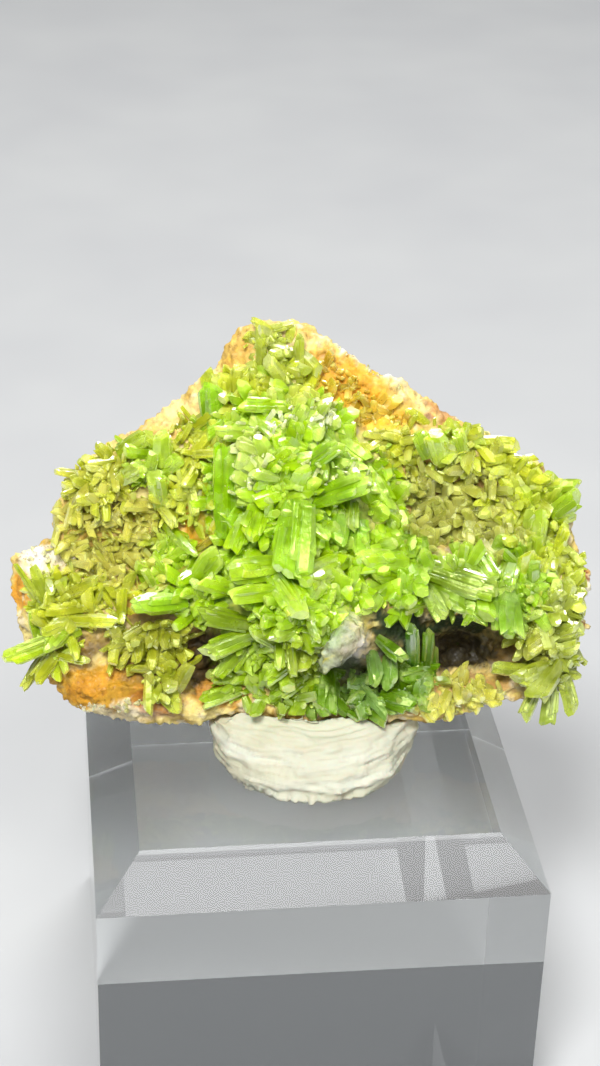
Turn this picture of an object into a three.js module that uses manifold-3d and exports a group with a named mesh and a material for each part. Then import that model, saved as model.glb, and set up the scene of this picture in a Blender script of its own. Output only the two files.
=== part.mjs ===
import * as THREE from "three";
import { ConvexGeometry } from "three/addons/geometries/ConvexGeometry.js";
import { mergeVertices } from "three/addons/utils/BufferGeometryUtils.js";
import Module from "manifold-3d";

// Green pyromorphite crystals on a plate of stained quartz, held by a lump of putty
// on a clear display block. Millimetres, +Z up, origin at the middle of the block's underside.
// The specimen is described in the frame of its face: u to the right, v up the face and
// w out of it, with w = 0 in the plane of its rim and u = v = 0 at the middle of its foot.

const BLOCK_WIDTH = 40;
const BLOCK_DEPTH = 40;
const BLOCK_HEIGHT = 31.5;
const BLOCK_CHAMFER = 4;

const FACE_FOOT = new THREE.Vector3(-1.2, -5.3, BLOCK_HEIGHT + 5);
const FACE_TURN = THREE.MathUtils.degToRad(7.28);
const FACE_LEAN = THREE.MathUtils.degToRad(30);
const FACE_ROLL = THREE.MathUtils.degToRad(1.68);

const GAP = 0.3;

// The plate's outline, clockwise from its left end, as [u, v].
const FACE_CENTRE = [0, 16];
const OUTLINE = [
  [-26.1, 15.2], [-24.5, 16.2], [-22.4, 16.9], [-22.7, 19.5], [-21.7, 20.9], [-21.2, 22.3],
  [-19.1, 24.3], [-17.7, 25.7], [-15.5, 26.7], [-13.4, 27.9], [-10.6, 30.1], [-8.8, 31.5],
  [-7.1, 33.2], [-6.4, 34.8], [-5.0, 36.2], [-3.2, 36.9], [-1.0, 37.1], [0.9, 36.7],
  [2.4, 35.6], [4.3, 34.5], [6.0, 33.2], [7.5, 32.2], [9.6, 31.6], [11.7, 30.1],
  [14.8, 27.8], [17.4, 26.8], [19.7, 24.9], [22.0, 23.9], [24.1, 22.5], [24.9, 20.4],
  [25.3, 17.9], [26.2, 15.3], [26.9, 12.4], [26.2, 10.3], [26.9, 8.9], [25.6, 7.8],
  [26.0, 5.6], [25.0, 3.2], [22.0, 2.4], [19.3, 2.1], [16.8, 1.3], [14.0, 0.2],
  [11.3, 0.2], [7.1, 0.1], [3.0, 0.1], [0.0, 0.0], [-2.6, 0.2], [-5.0, 0.9],
  [-7.0, 0.6], [-8.8, -0.3], [-11.0, -0.2], [-13.0, 0.0], [-16.8, 0.4], [-19.0, 1.0],
  [-20.8, 1.8], [-22.7, 3.8], [-23.6, 5.2], [-24.7, 6.9], [-25.4, 9.1], [-26.3, 12.2],
];
const FRONT_RINGS = [0.22, 0.4, 0.56, 0.7, 0.82, 0.93];
const BACK_RINGS = [0.92, 0.74, 0.46];
// Rings nearer the middle than each share keep one outline point in so many.
const SPOKE_STEPS = [[0.4, 4], [0.75, 2], [1, 1]];
const RIM_SHARPNESS = 10;
const RIM_DEPTH = -1.2;
const RIM_WAVE = 0.5;
const RIM_WAVE_STEP = 2.4;
const BACK_RIM_DEPTH = 3.7;
const BACK_BULGE = 5.4;
const BACK_SHARPNESS = 2.4;
const BACK_UNEVENNESS = 1.7;
const BACK_SHIFT = 3;

// Swells and hollows of the plate's front: middle, half widths along and across, turn in
// degrees, and height.
const RELIEF = [
  { name: "ridge", at: [-0.8, 21.5], size: [5.4, 8.4], turn: 0, rise: 4.4 },
  { name: "ridge foot", at: [1.2, 10.2], size: [6.3, 3.8], turn: 0, rise: 4.8 },
  { name: "crest", at: [-2.0, 34.0], size: [4.0, 2.6], turn: 0, rise: 0.8 },
  { name: "left rim", at: [-15.5, 23.6], size: [5.4, 2.4], turn: 20, rise: 1.3 },
  { name: "left basin", at: [-15.6, 16.0], size: [5.2, 4.0], turn: 0, rise: -2.6 },
  { name: "left shoulder", at: [-10.6, 12.6], size: [3.2, 3.2], turn: 0, rise: 1.6 },
  { name: "left corner", at: [-21.5, 9.0], size: [4.4, 3.0], turn: 0, rise: 1.2 },
  { name: "left recess", at: [-8.4, 6.0], size: [2.6, 3.4], turn: 0, rise: -3.2 },
  { name: "lower left ledge", at: [-16.5, 2.6], size: [6.0, 2.0], turn: 0, rise: 1.6 },
  { name: "upper right slope", at: [6.0, 29.4], size: [4.6, 3.2], turn: -35, rise: -0.9 },
  { name: "upper right swell", at: [14.2, 25.4], size: [4.4, 1.9], turn: -20, rise: 1.4 },
  { name: "right basin", at: [14.2, 20.0], size: [5.6, 3.6], turn: -10, rise: -2.4 },
  { name: "right ledge", at: [16.0, 12.9], size: [6.6, 2.5], turn: -8, rise: 3.0 },
  { name: "cavity", at: [15.6, 6.6], size: [4.6, 2.4], turn: 0, rise: -4.4 },
  { name: "under the overhang", at: [4.6, 4.4], size: [6.0, 1.9], turn: 0, rise: -2.4 },
  { name: "right end", at: [23.2, 7.0], size: [2.8, 4.4], turn: 0, rise: 1.9 },
];

// The bare quartz at the tip of the overhang: its outline and its lowest and highest w.
const QUARTZ_OUTLINE = [
  [4.4, 10.1], [5.9, 9.6], [6.2, 7.9], [5.2, 6.8], [3.9, 5.6], [2.2, 4.9], [1.9, 5.9],
  [2.3, 7.2], [3.2, 8.8],
];
const QUARTZ_FOOT = 0.5;
const QUARTZ_TOP = 6.6;
const QUARTZ_DOME = 0.9;
const QUARTZ_TAPER = 0.92;
const QUARTZ_CHIP = 0.4;
const QUARTZ_CHIP_STEP = 2.1;

// Putty rings: height over the block, half width, reach to the front and reach to the back.
const PUTTY_CENTRE = [0.7, -1.5];
const PUTTY_RINGS = [
  [0.1, 8.7, 9.1, 7.6], [1.2, 9.7, 9.3, 8.2], [3.0, 9.8, 8.2, 8.0], [4.6, 9.4, 6.8, 7.4],
  [5.9, 8.2, 3.6, 6.4],
];
const PUTTY_TOP = 7.2;
const PUTTY_SIDES = 22;
// Waves around the putty: how many, how deep a share of its reach, and their shift from ring to ring.
const PUTTY_WAVES = [[5, 0.02, 1], [9, 0.015, 2]];

const CRYSTAL_SIDES = 6;
// A crystal's foot starts this far over the rock, and its root reaches this far below its foot.
const FOOT_RISE = 0.2;
const ROOT_DEPTH = 0.7;
// Shares of a crystal's radius at its root and at its blunt tip, and where larger ones are widest.
const ROOT_WIDTH = 0.8;
const TIP_WIDTH = 0.55;
const WIDEST_AT = 0.6;
const SMALL_CRYSTAL = 0.9;

const CRUST_SIDES = 8;
const CRUST_WAVE = 0.1;
const CRUST_WAVE_STEP = 3.7;
const CRUST_BOTTOM = -9;
const CRUST_TOP = 20;

// Corners closer than the first are one corner; slivers finer than the second are smoothed away.
const SAME_CORNER = 1e-4;
const FINEST_DETAIL = 0.1;

// Each cluster has a crust over [u, v, half width, half height, turn] patches and crystals,
// given as foot [u, v], tip [u, v], lift of the tip, radius, and thickness over width.
const CLUSTERS = [
  {
    name: "central_green_crystals", colour: 0x9bcc34, crust: 1.3,
    patches: [[-1.2, 23.4, 6.6, 7.0, 0], [-0.4, 14.2, 6.6, 4.6, 0], [7.2, 14.8, 3.0, 2.0, 0]],
    crystals: [
      [-6.4, 17.9, -6.2, 25.2, 1.6, 1.35, 0.8], [-4.9, 20.2, -4.6, 23.6, 1.4, 0.9, 0.8],
      [-1.2, 28.8, -4.9, 28.9, 0.9, 0.75, 0.8], [-3.5, 27.9, -1.2, 26.2, 1.2, 0.95, 0.7],
      [-3.6, 26.2, -7.1, 26.5, 1.0, 0.8, 0.8], [1.6, 27.6, 2.8, 29.3, 1.0, 0.7, 0.8],
      [-0.4, 27.0, 0.8, 28.8, 1.1, 0.7, 0.8], [1.0, 23.4, 3.6, 25.4, 1.4, 1.1, 0.7],
      [4.4, 25.6, 6.4, 24.1, 1.0, 0.8, 0.7], [-2.6, 23.4, -0.2, 25.0, 1.4, 0.8, 0.8],
      [2.0, 20.4, 6.2, 21.8, 1.5, 1.15, 0.7], [4.9, 20.1, 4.8, 17.8, 1.0, 0.8, 0.8],
      [0.0, 19.6, -0.6, 13.8, 1.8, 1.75, 0.75], [-3.2, 20.2, -4.2, 17.2, 1.6, 1.1, 0.75],
      [-4.6, 18.6, -5.6, 15.8, 1.2, 0.9, 0.75], [4.0, 19.0, 3.6, 16.6, 1.8, 0.95, 0.9],
      [5.9, 18.2, 5.8, 15.6, 1.7, 0.85, 0.9], [-1.6, 14.4, -5.8, 14.0, 2.0, 1.25, 0.7],
      [-1.8, 12.2, -5.7, 11.7, 1.6, 1.0, 0.7], [-1.7, 13.6, 0.5, 10.3, 2.0, 1.15, 0.8],
      [4.2, 14.8, 0.6, 13.1, 1.6, 1.15, 0.8], [9.6, 15.0, 5.8, 14.9, 1.8, 1.15, 0.55],
    ],
  },
  {
    name: "crest_crystals", colour: 0xb9cc4e, crust: 0.9,
    patches: [[-1.8, 33.2, 2.9, 3.0, 0], [-6.7, 29.6, 1.9, 2.2, 0], [-4.4, 31.4, 2.0, 1.3, 30]],
    crystals: [
      [-3.1, 32.0, -3.2, 35.9, 0.4, 0.6, 0.8], [0.3, 31.4, 0.4, 35.1, 0.3, 0.5, 0.8],
      [-2.4, 35.7, -4.0, 36.6, 0.2, 0.5, 0.8], [-1.0, 30.8, -2.6, 32.8, 0.9, 0.8, 0.8],
      [-3.6, 30.8, -4.2, 32.6, 0.8, 0.9, 0.8], [-5.2, 30.4, -5.0, 32.4, 1.0, 1.0, 0.9],
      [-7.6, 27.4, -7.8, 30.8, 1.0, 1.15, 0.9],
    ],
  },
  {
    name: "lower_fan_crystals", colour: 0x93cc2a, crust: 1.1,
    patches: [[-3.4, 7.6, 3.8, 2.3, 0], [-3.4, 4.4, 4.2, 2.0, 10]],
    crystals: [
      [-4.2, 9.3, -8.6, 10.3, 1.5, 0.9, 0.7], [-4.4, 8.2, -8.1, 6.8, 1.6, 1.0, 0.7],
      [-4.6, 7.4, -7.2, 4.5, 1.2, 0.8, 0.7], [-1.5, 7.4, -4.0, 9.0, 1.8, 0.9, 0.7],
      [-1.6, 8.0, -1.5, 5.3, 1.6, 0.55, 0.8], [0.6, 4.4, -2.3, 2.7, 1.2, 0.95, 0.7],
      [0.0, 6.2, -2.8, 4.4, 1.6, 0.8, 0.7],
      [-5.4, 3.3, -8.6, 2.2, 1.0, 0.75, 0.8],
    ],
  },
  {
    name: "cavity_crystals", colour: 0x4f8a18, crust: 0.9,
    patches: [[6.6, 3.2, 5.4, 2.0, 0], [10.6, 4.8, 2.6, 2.4, 0]],
    crystals: [
      [2.8, 4.4, 2.6, 0.9, 1.2, 1.5, 0.7], [5.8, 3.7, 8.2, 0.8, 1.4, 0.65, 0.6],
      [10.7, 5.1, 10.4, 9.3, 1.4, 0.95, 0.6], [12.0, 5.3, 12.2, 8.5, 1.0, 0.6, 0.7],
      [12.0, 4.7, 9.6, 4.2, 1.2, 0.8, 0.8], [8.0, 2.7, 10.6, 1.9, 1.0, 0.95, 0.8],
      [11.4, 3.8, 11.3, 2.0, 0.8, 0.75, 0.8],
    ],
  },
  {
    name: "lower_lip_crystals", colour: 0xc9c890, crust: 0.7,
    patches: [[14.9, 2.9, 2.2, 1.3, 0]],
    crystals: [
      [13.8, 2.8, 13.0, 1.4, 0.8, 0.6, 0.8], [14.6, 3.4, 14.8, 2.1, 0.8, 0.55, 0.9],
      [14.0, 3.8, 13.4, 4.7, 0.9, 0.5, 0.9], [16.3, 3.4, 16.9, 2.4, 0.8, 0.5, 0.9],
      [15.0, 3.9, 15.4, 5.6, 0.6, 0.4, 0.9],
    ],
  },
  {
    name: "left_green_barrels", colour: 0x9ccf33, crust: 1.1,
    patches: [[-10.8, 12.9, 3.3, 3.1, 0]],
    crystals: [
      [-12.0, 14.6, -9.0, 16.6, 1.4, 0.6, 0.6], [-9.2, 13.0, -7.0, 15.9, 1.6, 1.3, 0.45],
      [-10.4, 11.2, -14.6, 11.0, 1.8, 1.3, 0.8], [-11.6, 13.4, -13.1, 15.3, 1.0, 0.5, 0.6],
      [-8.8, 13.9, -10.7, 12.9, 1.8, 0.7, 0.7], [-8.6, 12.4, -10.4, 11.9, 1.8, 0.7, 0.7],
    ],
  },
  {
    name: "left_rim_crystals", colour: 0xbccb52, crust: 1.0,
    patches: [[-16.0, 23.2, 4.8, 2.5, 20], [-11.9, 22.2, 2.4, 2.9, 0]],
    crystals: [
      [-19.0, 22.6, -21.8, 23.0, 0.6, 0.42, 0.8],
      [-15.8, 24.8, -13.3, 26.2, 1.0, 0.8, 0.8], [-15.8, 22.3, -13.8, 23.4, 1.4, 0.95, 0.8],
      [-12.2, 23.8, -12.2, 26.4, 1.2, 0.95, 0.9], [-12.6, 22.5, -10.4, 24.2, 1.3, 0.75, 0.7],
      [-12.4, 20.2, -12.8, 22.6, 1.5, 1.05, 0.9], [-11.8, 20.4, -10.2, 21.5, 1.2, 0.75, 0.9],
      [-10.4, 23.4, -9.9, 21.0, 1.0, 0.62, 0.9], [-12.6, 20.4, -10.8, 18.0, 1.3, 0.6, 0.6],
    ],
  },
  {
    name: "left_basin_druse", colour: 0xc6b670, crust: 0.6,
    patches: [[-16.4, 17.0, 5.2, 3.4, 0]],
    crystals: [
      [-18.4, 19.2, -19.7, 18.7, 0.7, 0.4, 0.9], [-17.4, 19.3, -18.6, 17.8, 0.9, 0.45, 0.9],
      [-15.6, 18.6, -17.7, 18.2, 0.9, 0.5, 0.9], [-14.2, 16.8, -16.0, 17.2, 0.9, 0.5, 0.9],
      [-17.6, 15.6, -18.4, 16.6, 0.9, 0.4, 0.9],
    ],
  },
  {
    name: "lower_left_crystals", colour: 0xb4c85a, crust: 0.9,
    patches: [[-12.9, 7.4, 3.0, 1.9, 0], [-12.1, 3.4, 1.8, 1.6, 0], [-12.5, 5.4, 1.2, 1.2, 0]],
    crystals: [
      [-12.9, 8.8, -13.2, 7.3, 1.4, 0.8, 0.9], [-14.0, 8.8, -15.5, 7.8, 1.0, 0.5, 0.9],
      [-10.9, 8.6, -10.9, 7.1, 1.2, 0.7, 0.9], [-14.2, 7.8, -14.3, 5.7, 1.2, 0.65, 0.9],
      [-12.9, 7.4, -13.1, 5.1, 1.3, 0.68, 0.9], [-10.8, 7.4, -10.1, 5.4, 1.0, 0.5, 0.9],
      [-11.2, 3.1, -9.6, 5.6, 1.4, 0.8, 0.6], [-13.4, 4.2, -13.4, 1.2, 0.9, 0.6, 0.9],
      [-11.2, 3.3, -11.0, 1.2, 1.1, 0.8, 0.9],
    ],
  },
  {
    name: "left_corner_spray", colour: 0xb3d14a, crust: 0.9,
    patches: [[-20.4, 10.2, 3.8, 2.0, 0], [-21.8, 7.2, 2.2, 1.8, 0]],
    crystals: [
      [-22.8, 10.7, -25.3, 14.6, 0.9, 0.38, 0.6], [-22.5, 11.1, -23.8, 14.4, 0.6, 0.6, 0.5],
      [-17.9, 10.9, -22.5, 10.3, 1.4, 0.6, 0.6], [-20.6, 9.6, -16.0, 9.6, 1.3, 0.6, 0.7],
      [-20.8, 11.8, -18.1, 13.0, 1.0, 0.7, 0.6], [-20.2, 8.4, -26.2, 6.1, 1.6, 1.05, 0.6],
      [-20.4, 8.2, -19.6, 6.1, 1.3, 0.48, 0.8], [-23.2, 6.2, -24.8, 3.3, 0.8, 0.6, 0.9],
      [-21.9, 6.4, -23.6, 4.1, 0.6, 0.8, 0.7], [-20.3, 9.4, -22.8, 8.4, 1.9, 0.8, 0.6],
    ],
  },
  {
    name: "upper_right_crystals", colour: 0xb7cd55, crust: 0.9,
    patches: [[12.4, 25.4, 3.4, 2.2, 0], [16.6, 25.2, 3.0, 1.6, -20]],
    crystals: [
      [13.3, 24.0, 12.5, 26.4, 1.6, 1.15, 0.85], [12.0, 24.6, 11.0, 26.6, 1.2, 0.85, 0.85],
      [15.0, 24.8, 14.4, 26.6, 1.2, 0.7, 0.85], [17.1, 25.7, 19.9, 25.5, 1.0, 0.85, 0.6],
      [17.9, 24.4, 18.4, 25.8, 1.2, 0.65, 0.9], [10.6, 25.6, 7.8, 26.4, 0.8, 0.5, 0.7],
    ],
  },
  {
    name: "right_rim_crystals", colour: 0xb2d04c, crust: 0.9,
    patches: [[22.2, 18.4, 2.7, 4.4, 0]],
    crystals: [
      [21.8, 16.4, 22.0, 19.4, 1.4, 0.9, 0.8], [21.5, 15.6, 21.7, 17.2, 1.3, 0.8, 0.85],
      [23.5, 19.1, 25.3, 20.5, 1.2, 1.2, 0.85], [23.0, 21.7, 25.6, 21.9, 0.9, 0.72, 0.9],
      [21.2, 21.4, 22.2, 23.1, 1.0, 0.9, 0.8], [23.6, 16.0, 24.4, 18.2, 0.9, 0.6, 0.8],
    ],
  },
  {
    name: "right_basin_druse", colour: 0xc2bf58, crust: 0.6,
    patches: [[14.4, 20.0, 5.4, 3.2, -8]],
    crystals: [
      [14.8, 18.8, 12.6, 19.4, 1.1, 0.65, 0.7], [13.2, 18.4, 11.3, 18.2, 1.0, 0.4, 0.7],
      [16.0, 19.4, 15.7, 17.4, 1.1, 0.7, 0.8], [16.2, 19.8, 17.8, 19.1, 0.9, 0.5, 0.9],
      [13.6, 20.6, 13.7, 22.2, 1.0, 0.55, 0.9], [17.6, 20.7, 17.6, 22.6, 1.2, 0.6, 0.8],
      [11.6, 20.6, 10.2, 21.6, 0.9, 0.5, 0.9],
    ],
  },
  {
    name: "right_ledge_crystals", colour: 0xa3cf3c, crust: 1.1,
    patches: [[14.8, 12.9, 4.9, 2.4, -8], [18.6, 12.6, 2.5, 2.6, 0]],
    crystals: [
      [12.0, 14.2, 17.9, 12.2, 1.6, 1.2, 0.5], [12.2, 12.8, 15.4, 11.0, 1.2, 1.0, 0.7],
      [11.6, 12.9, 13.5, 10.0, 1.8, 1.1, 0.7], [18.8, 12.4, 18.9, 8.2, 2.0, 1.4, 0.85],
      [14.4, 11.8, 17.2, 9.7, 1.4, 1.0, 0.8], [19.0, 14.2, 18.4, 12.6, 1.3, 1.0, 0.85],
      [16.4, 14.2, 17.4, 13.0, 1.3, 0.8, 0.85], [12.2, 14.0, 11.2, 15.8, 1.3, 0.7, 0.6],
    ],
  },
  {
    name: "lower_right_crystals", colour: 0xc3cf72, crust: 0.9,
    patches: [[23.0, 6.2, 2.5, 4.6, 0], [23.3, 11.2, 1.9, 1.9, 0]],
    crystals: [
      [22.8, 8.2, 20.6, 6.7, 1.3, 1.0, 0.8], [23.0, 8.0, 25.6, 8.9, 1.2, 1.1, 0.8],
      [23.4, 6.6, 25.4, 7.1, 1.1, 0.8, 0.8], [22.5, 5.4, 19.9, 4.3, 1.6, 1.0, 0.8],
      [23.6, 5.4, 21.6, 2.8, 1.4, 1.1, 0.8], [24.4, 4.2, 25.0, 1.3, 1.0, 0.85, 0.8],
      [22.0, 3.6, 20.6, 0.7, 0.8, 0.65, 0.9], [23.2, 3.4, 22.8, 0.3, 0.9, 0.8, 0.9],
      [20.9, 5.0, 17.8, 5.3, 1.0, 0.7, 0.6], [23.4, 11.0, 23.3, 12.8, 1.2, 0.85, 0.9],
    ],
  },
];

const MATRIX_COLOUR = 0xdcc08a;
const PUTTY_COLOUR = 0xe1e1cd;
const BLOCK_COLOUR = 0xeef2f2;

const library = await Module();
library.setup();

function stone(colour, roughness) {
  return new THREE.MeshStandardMaterial({ color: colour, roughness, metalness: 0 });
}

function solidOf(geometry) {
  const plain = geometry.index ? geometry.toNonIndexed() : geometry.clone();
  plain.deleteAttribute("normal");
  plain.deleteAttribute("uv");
  const merged = mergeVertices(plain, SAME_CORNER);
  const corners = merged.index.array;
  const kept = [];
  for (let i = 0; i < corners.length; i += 3) {
    const [a, b, c] = corners.slice(i, i + 3);
    if (a !== b && b !== c && c !== a) kept.push(a, b, c);
  }
  return new library.Manifold(new library.Mesh({
    numProp: 3,
    vertProperties: new Float32Array(merged.attributes.position.array),
    triVerts: new Uint32Array(kept),
  }));
}

function join(solids) {
  return solids.reduce((whole, next) => whole.add(next));
}

function largestBody(solid) {
  const bodies = solid.simplify(FINEST_DETAIL).decompose();
  return bodies.reduce((best, body) => (body.volume() > best.volume() ? body : best));
}

function piece(name, solid, material) {
  const { vertProperties, triVerts } = solid.getMesh();
  const geometry = new THREE.BufferGeometry();
  geometry.setAttribute("position", new THREE.BufferAttribute(vertProperties, 3));
  geometry.setIndex(new THREE.BufferAttribute(triVerts, 1));
  geometry.computeVertexNormals();
  const mesh = new THREE.Mesh(geometry, material);
  mesh.name = name;
  return mesh;
}

// Closes a stack of equal rings of points with a point at each end.
function ringedSolid(bottom, rings, top) {
  const points = [bottom, ...rings.flat(), top];
  const count = rings[0].length;
  const last = points.length - 1;
  const at = (ring, side) => 1 + ring * count + (side % count);
  const faces = [];
  for (let side = 0; side < count; side++) {
    faces.push(0, at(0, side + 1), at(0, side));
    for (let ring = 0; ring < rings.length - 1; ring++) {
      faces.push(at(ring, side), at(ring, side + 1), at(ring + 1, side + 1));
      faces.push(at(ring, side), at(ring + 1, side + 1), at(ring + 1, side));
    }
    faces.push(last, at(rings.length - 1, side), at(rings.length - 1, side + 1));
  }
  const geometry = new THREE.BufferGeometry();
  geometry.setAttribute("position", new THREE.Float32BufferAttribute(points.flat(), 3));
  geometry.setIndex(faces);
  return solidOf(geometry);
}

// The small lumps of the broken rock: a coarse wave and a finer one across it.
function unevenness(u, v) {
  const coarse = Math.sin(1.3 * u + 0.6 * v) * Math.cos(1.1 * v - 0.5 * u);
  const fine = Math.sin(2.3 * u - 1.9 * v);
  return 0.26 * coarse + 0.16 * fine;
}

function swell({ at, size, turn, rise }, u, v) {
  const angle = THREE.MathUtils.degToRad(turn);
  const du = u - at[0];
  const dv = v - at[1];
  const along = (du * Math.cos(angle) + dv * Math.sin(angle)) / size[0];
  const across = (dv * Math.cos(angle) - du * Math.sin(angle)) / size[1];
  return rise * Math.exp(-along * along - across * across);
}

function frontHeight(u, v, share) {
  const raised = RELIEF.reduce((sum, form) => sum + swell(form, u, v), unevenness(u, v));
  return raised * (1 - share ** RIM_SHARPNESS);
}

function backHeight(u, v, share) {
  const bulge = BACK_BULGE * (1 - share ** BACK_SHARPNESS);
  return BACK_UNEVENNESS * unevenness(u / 2 + BACK_SHIFT, v / 2) - BACK_RIM_DEPTH - bulge;
}

// The plate as a solid, its front raised and its back and rim grown by a margin.
function plateSolid(raise, margin) {
  const ringOf = (share, heightAt) => OUTLINE.map((point, i) => {
    const step = SPOKE_STEPS.find(([limit]) => share <= limit)[1];
    const [pu, pv] = OUTLINE[Math.floor(i / step) * step];
    const du = pu - FACE_CENTRE[0];
    const dv = pv - FACE_CENTRE[1];
    const grown = 1 + margin / Math.hypot(du, dv);
    const u = FACE_CENTRE[0] + du * share;
    const v = FACE_CENTRE[1] + dv * share;
    return [FACE_CENTRE[0] + du * share * grown, FACE_CENTRE[1] + dv * share * grown, heightAt(u, v, i)];
  });
  const rings = [
    ...[...BACK_RINGS].reverse().map((share) => ringOf(share, (u, v) => backHeight(u, v, share) - margin)),
    ringOf(1, (u, v, i) => RIM_DEPTH + RIM_WAVE * Math.sin(RIM_WAVE_STEP * i)),
    ...[...FRONT_RINGS].reverse().map((share) => ringOf(share, (u, v) => frontHeight(u, v, share) + raise)),
  ];
  const flipped = rings.map((ring) => [...ring].reverse());
  const back = [...FACE_CENTRE, backHeight(...FACE_CENTRE, 0) - margin];
  const front = [...FACE_CENTRE, frontHeight(...FACE_CENTRE, 0) + raise];
  return ringedSolid(back, flipped, front);
}

function quartzSolid(margin) {
  const middle = QUARTZ_OUTLINE.reduce((sum, [u, v]) => [sum[0] + u, sum[1] + v], [0, 0])
    .map((sum) => sum / QUARTZ_OUTLINE.length);
  const points = [];
  QUARTZ_OUTLINE.forEach(([u, v], i) => {
    const du = u - middle[0];
    const dv = v - middle[1];
    const grown = 1 + margin / Math.hypot(du, dv);
    const tapered = grown * QUARTZ_TAPER;
    const top = QUARTZ_TOP + QUARTZ_CHIP * Math.sin(QUARTZ_CHIP_STEP * i) + margin;
    points.push(new THREE.Vector3(middle[0] + du * grown, middle[1] + dv * grown, QUARTZ_FOOT));
    points.push(new THREE.Vector3(middle[0] + du * tapered, middle[1] + dv * tapered, top));
  });
  points.push(new THREE.Vector3(middle[0], middle[1], QUARTZ_TOP + QUARTZ_DOME + margin));
  return solidOf(new ConvexGeometry(points));
}

function crystalSolid([footU, footV, tipU, tipV, lift, radius, thickness], margin) {
  const footHeight = rockHeight(footU, footV);
  const tipHeight = Math.max(rockHeight(tipU, tipV), footHeight) + lift;
  const foot = new THREE.Vector3(footU, footV, footHeight + FOOT_RISE);
  const tip = new THREE.Vector3(tipU, tipV, tipHeight);
  const axis = new THREE.Vector3().subVectors(tip, foot);
  const length = axis.length();
  const wide = radius + margin;
  const profile = [
    [0, -ROOT_DEPTH - margin],
    [ROOT_WIDTH * wide, -ROOT_DEPTH - margin],
    ...(radius > SMALL_CRYSTAL ? [[wide, WIDEST_AT * length]] : []),
    [TIP_WIDTH * wide, length + margin],
    [0, length + margin],
  ].map(([x, y]) => new THREE.Vector2(x, y));
  const body = new THREE.LatheGeometry(profile, CRYSTAL_SIDES);
  body.rotateY(Math.PI / CRYSTAL_SIDES);
  body.scale(1, 1, thickness);
  axis.normalize();
  const across = new THREE.Vector3().crossVectors(axis, new THREE.Vector3(0, 0, 1)).normalize();
  const through = new THREE.Vector3().crossVectors(across, axis);
  body.applyMatrix4(new THREE.Matrix4().makeBasis(across, axis, through).setPosition(foot));
  return solidOf(body);
}

function patchSolid([middleU, middleV, halfU, halfV, turn], margin) {
  const angle = THREE.MathUtils.degToRad(turn);
  const outline = new THREE.Shape();
  for (let side = 0; side < CRUST_SIDES; side++) {
    const a = (2 * Math.PI * side) / CRUST_SIDES;
    const wobble = 1 + CRUST_WAVE * Math.sin(CRUST_WAVE_STEP * side + middleU);
    const x = (halfU + margin) * wobble * Math.cos(a);
    const y = (halfV + margin) * wobble * Math.sin(a);
    const u = middleU + x * Math.cos(angle) - y * Math.sin(angle);
    const v = middleV + x * Math.sin(angle) + y * Math.cos(angle);
    if (side === 0) outline.moveTo(u, v);
    else outline.lineTo(u, v);
  }
  const prism = new THREE.ExtrudeGeometry(outline, { depth: CRUST_TOP - CRUST_BOTTOM, bevelEnabled: false });
  prism.translate(0, 0, CRUST_BOTTOM);
  return solidOf(prism);
}

// A crust over its patches with the crystals that grow from it.
function clusterSolid({ crust, patches, crystals }, margin) {
  const ground = join(patches.map((patch) => patchSolid(patch, margin)));
  const skin = plateSolid(crust + margin, margin).intersect(ground);
  return join([skin, ...crystals.map((crystal) => crystalSolid(crystal, margin))]);
}

// The putty before the rock is pressed into it, in the frame of the face.
function puttySolid() {
  const inFace = (right, away, height) =>
    new THREE.Vector3(PUTTY_CENTRE[0] + right, PUTTY_CENTRE[1] + away, BLOCK_HEIGHT + height)
      .applyMatrix4(faceFromBlock).toArray();
  const rings = PUTTY_RINGS.map(([height, half, front, back], level) => {
    const ring = [];
    for (let side = 0; side < PUTTY_SIDES; side++) {
      const a = (2 * Math.PI * side) / PUTTY_SIDES;
      const wobble = PUTTY_WAVES.reduce(
        (sum, [waves, depth, shift]) => sum + depth * Math.sin(waves * a + shift * level), 1);
      const reach = Math.sin(a) < 0 ? front : back;
      ring.push(inFace(half * wobble * Math.cos(a), reach * wobble * Math.sin(a), height));
    }
    return ring;
  });
  return ringedSolid(inFace(0, 0, PUTTY_RINGS[0][0]), rings, inFace(0, 0, PUTTY_TOP));
}

function blockSolid() {
  const corners = [];
  for (const [side, front] of [[-1, -1], [1, -1], [1, 1], [-1, 1]]) {
    const x = (side * BLOCK_WIDTH) / 2;
    const y = (front * BLOCK_DEPTH) / 2;
    corners.push(new THREE.Vector3(x, y, 0));
    corners.push(new THREE.Vector3(x, y, BLOCK_HEIGHT - BLOCK_CHAMFER));
    corners.push(new THREE.Vector3(x - side * BLOCK_CHAMFER, y - front * BLOCK_CHAMFER, BLOCK_HEIGHT));
  }
  return solidOf(new ConvexGeometry(corners));
}

// The rock's front at a point of the face, or its lowest front height past the outline.
function rockHeight(u, v) {
  const ray = new THREE.Raycaster(new THREE.Vector3(u, v, CRUST_TOP), new THREE.Vector3(0, 0, -1));
  const [hit] = ray.intersectObject(rock);
  return hit ? hit.point.z : RIM_DEPTH;
}

// The face frame: rolled in its own plane, leaned back and turned a little to the left.
const placedFace = new THREE.Matrix4().makeTranslation(FACE_FOOT)
  .multiply(new THREE.Matrix4().makeRotationZ(-FACE_TURN))
  .multiply(new THREE.Matrix4().makeRotationX(Math.PI / 2 - FACE_LEAN))
  .multiply(new THREE.Matrix4().makeRotationZ(FACE_ROLL));
const faceFromBlock = placedFace.clone().invert();

const pyromorphite = new THREE.Group();
const specimen = new THREE.Group();
specimen.applyMatrix4(placedFace);
pyromorphite.add(specimen);

const rock = piece("matrix_rock", join([plateSolid(0, 0), quartzSolid(0)]), stone(MATRIX_COLOUR, 0.85));
specimen.add(rock);

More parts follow.
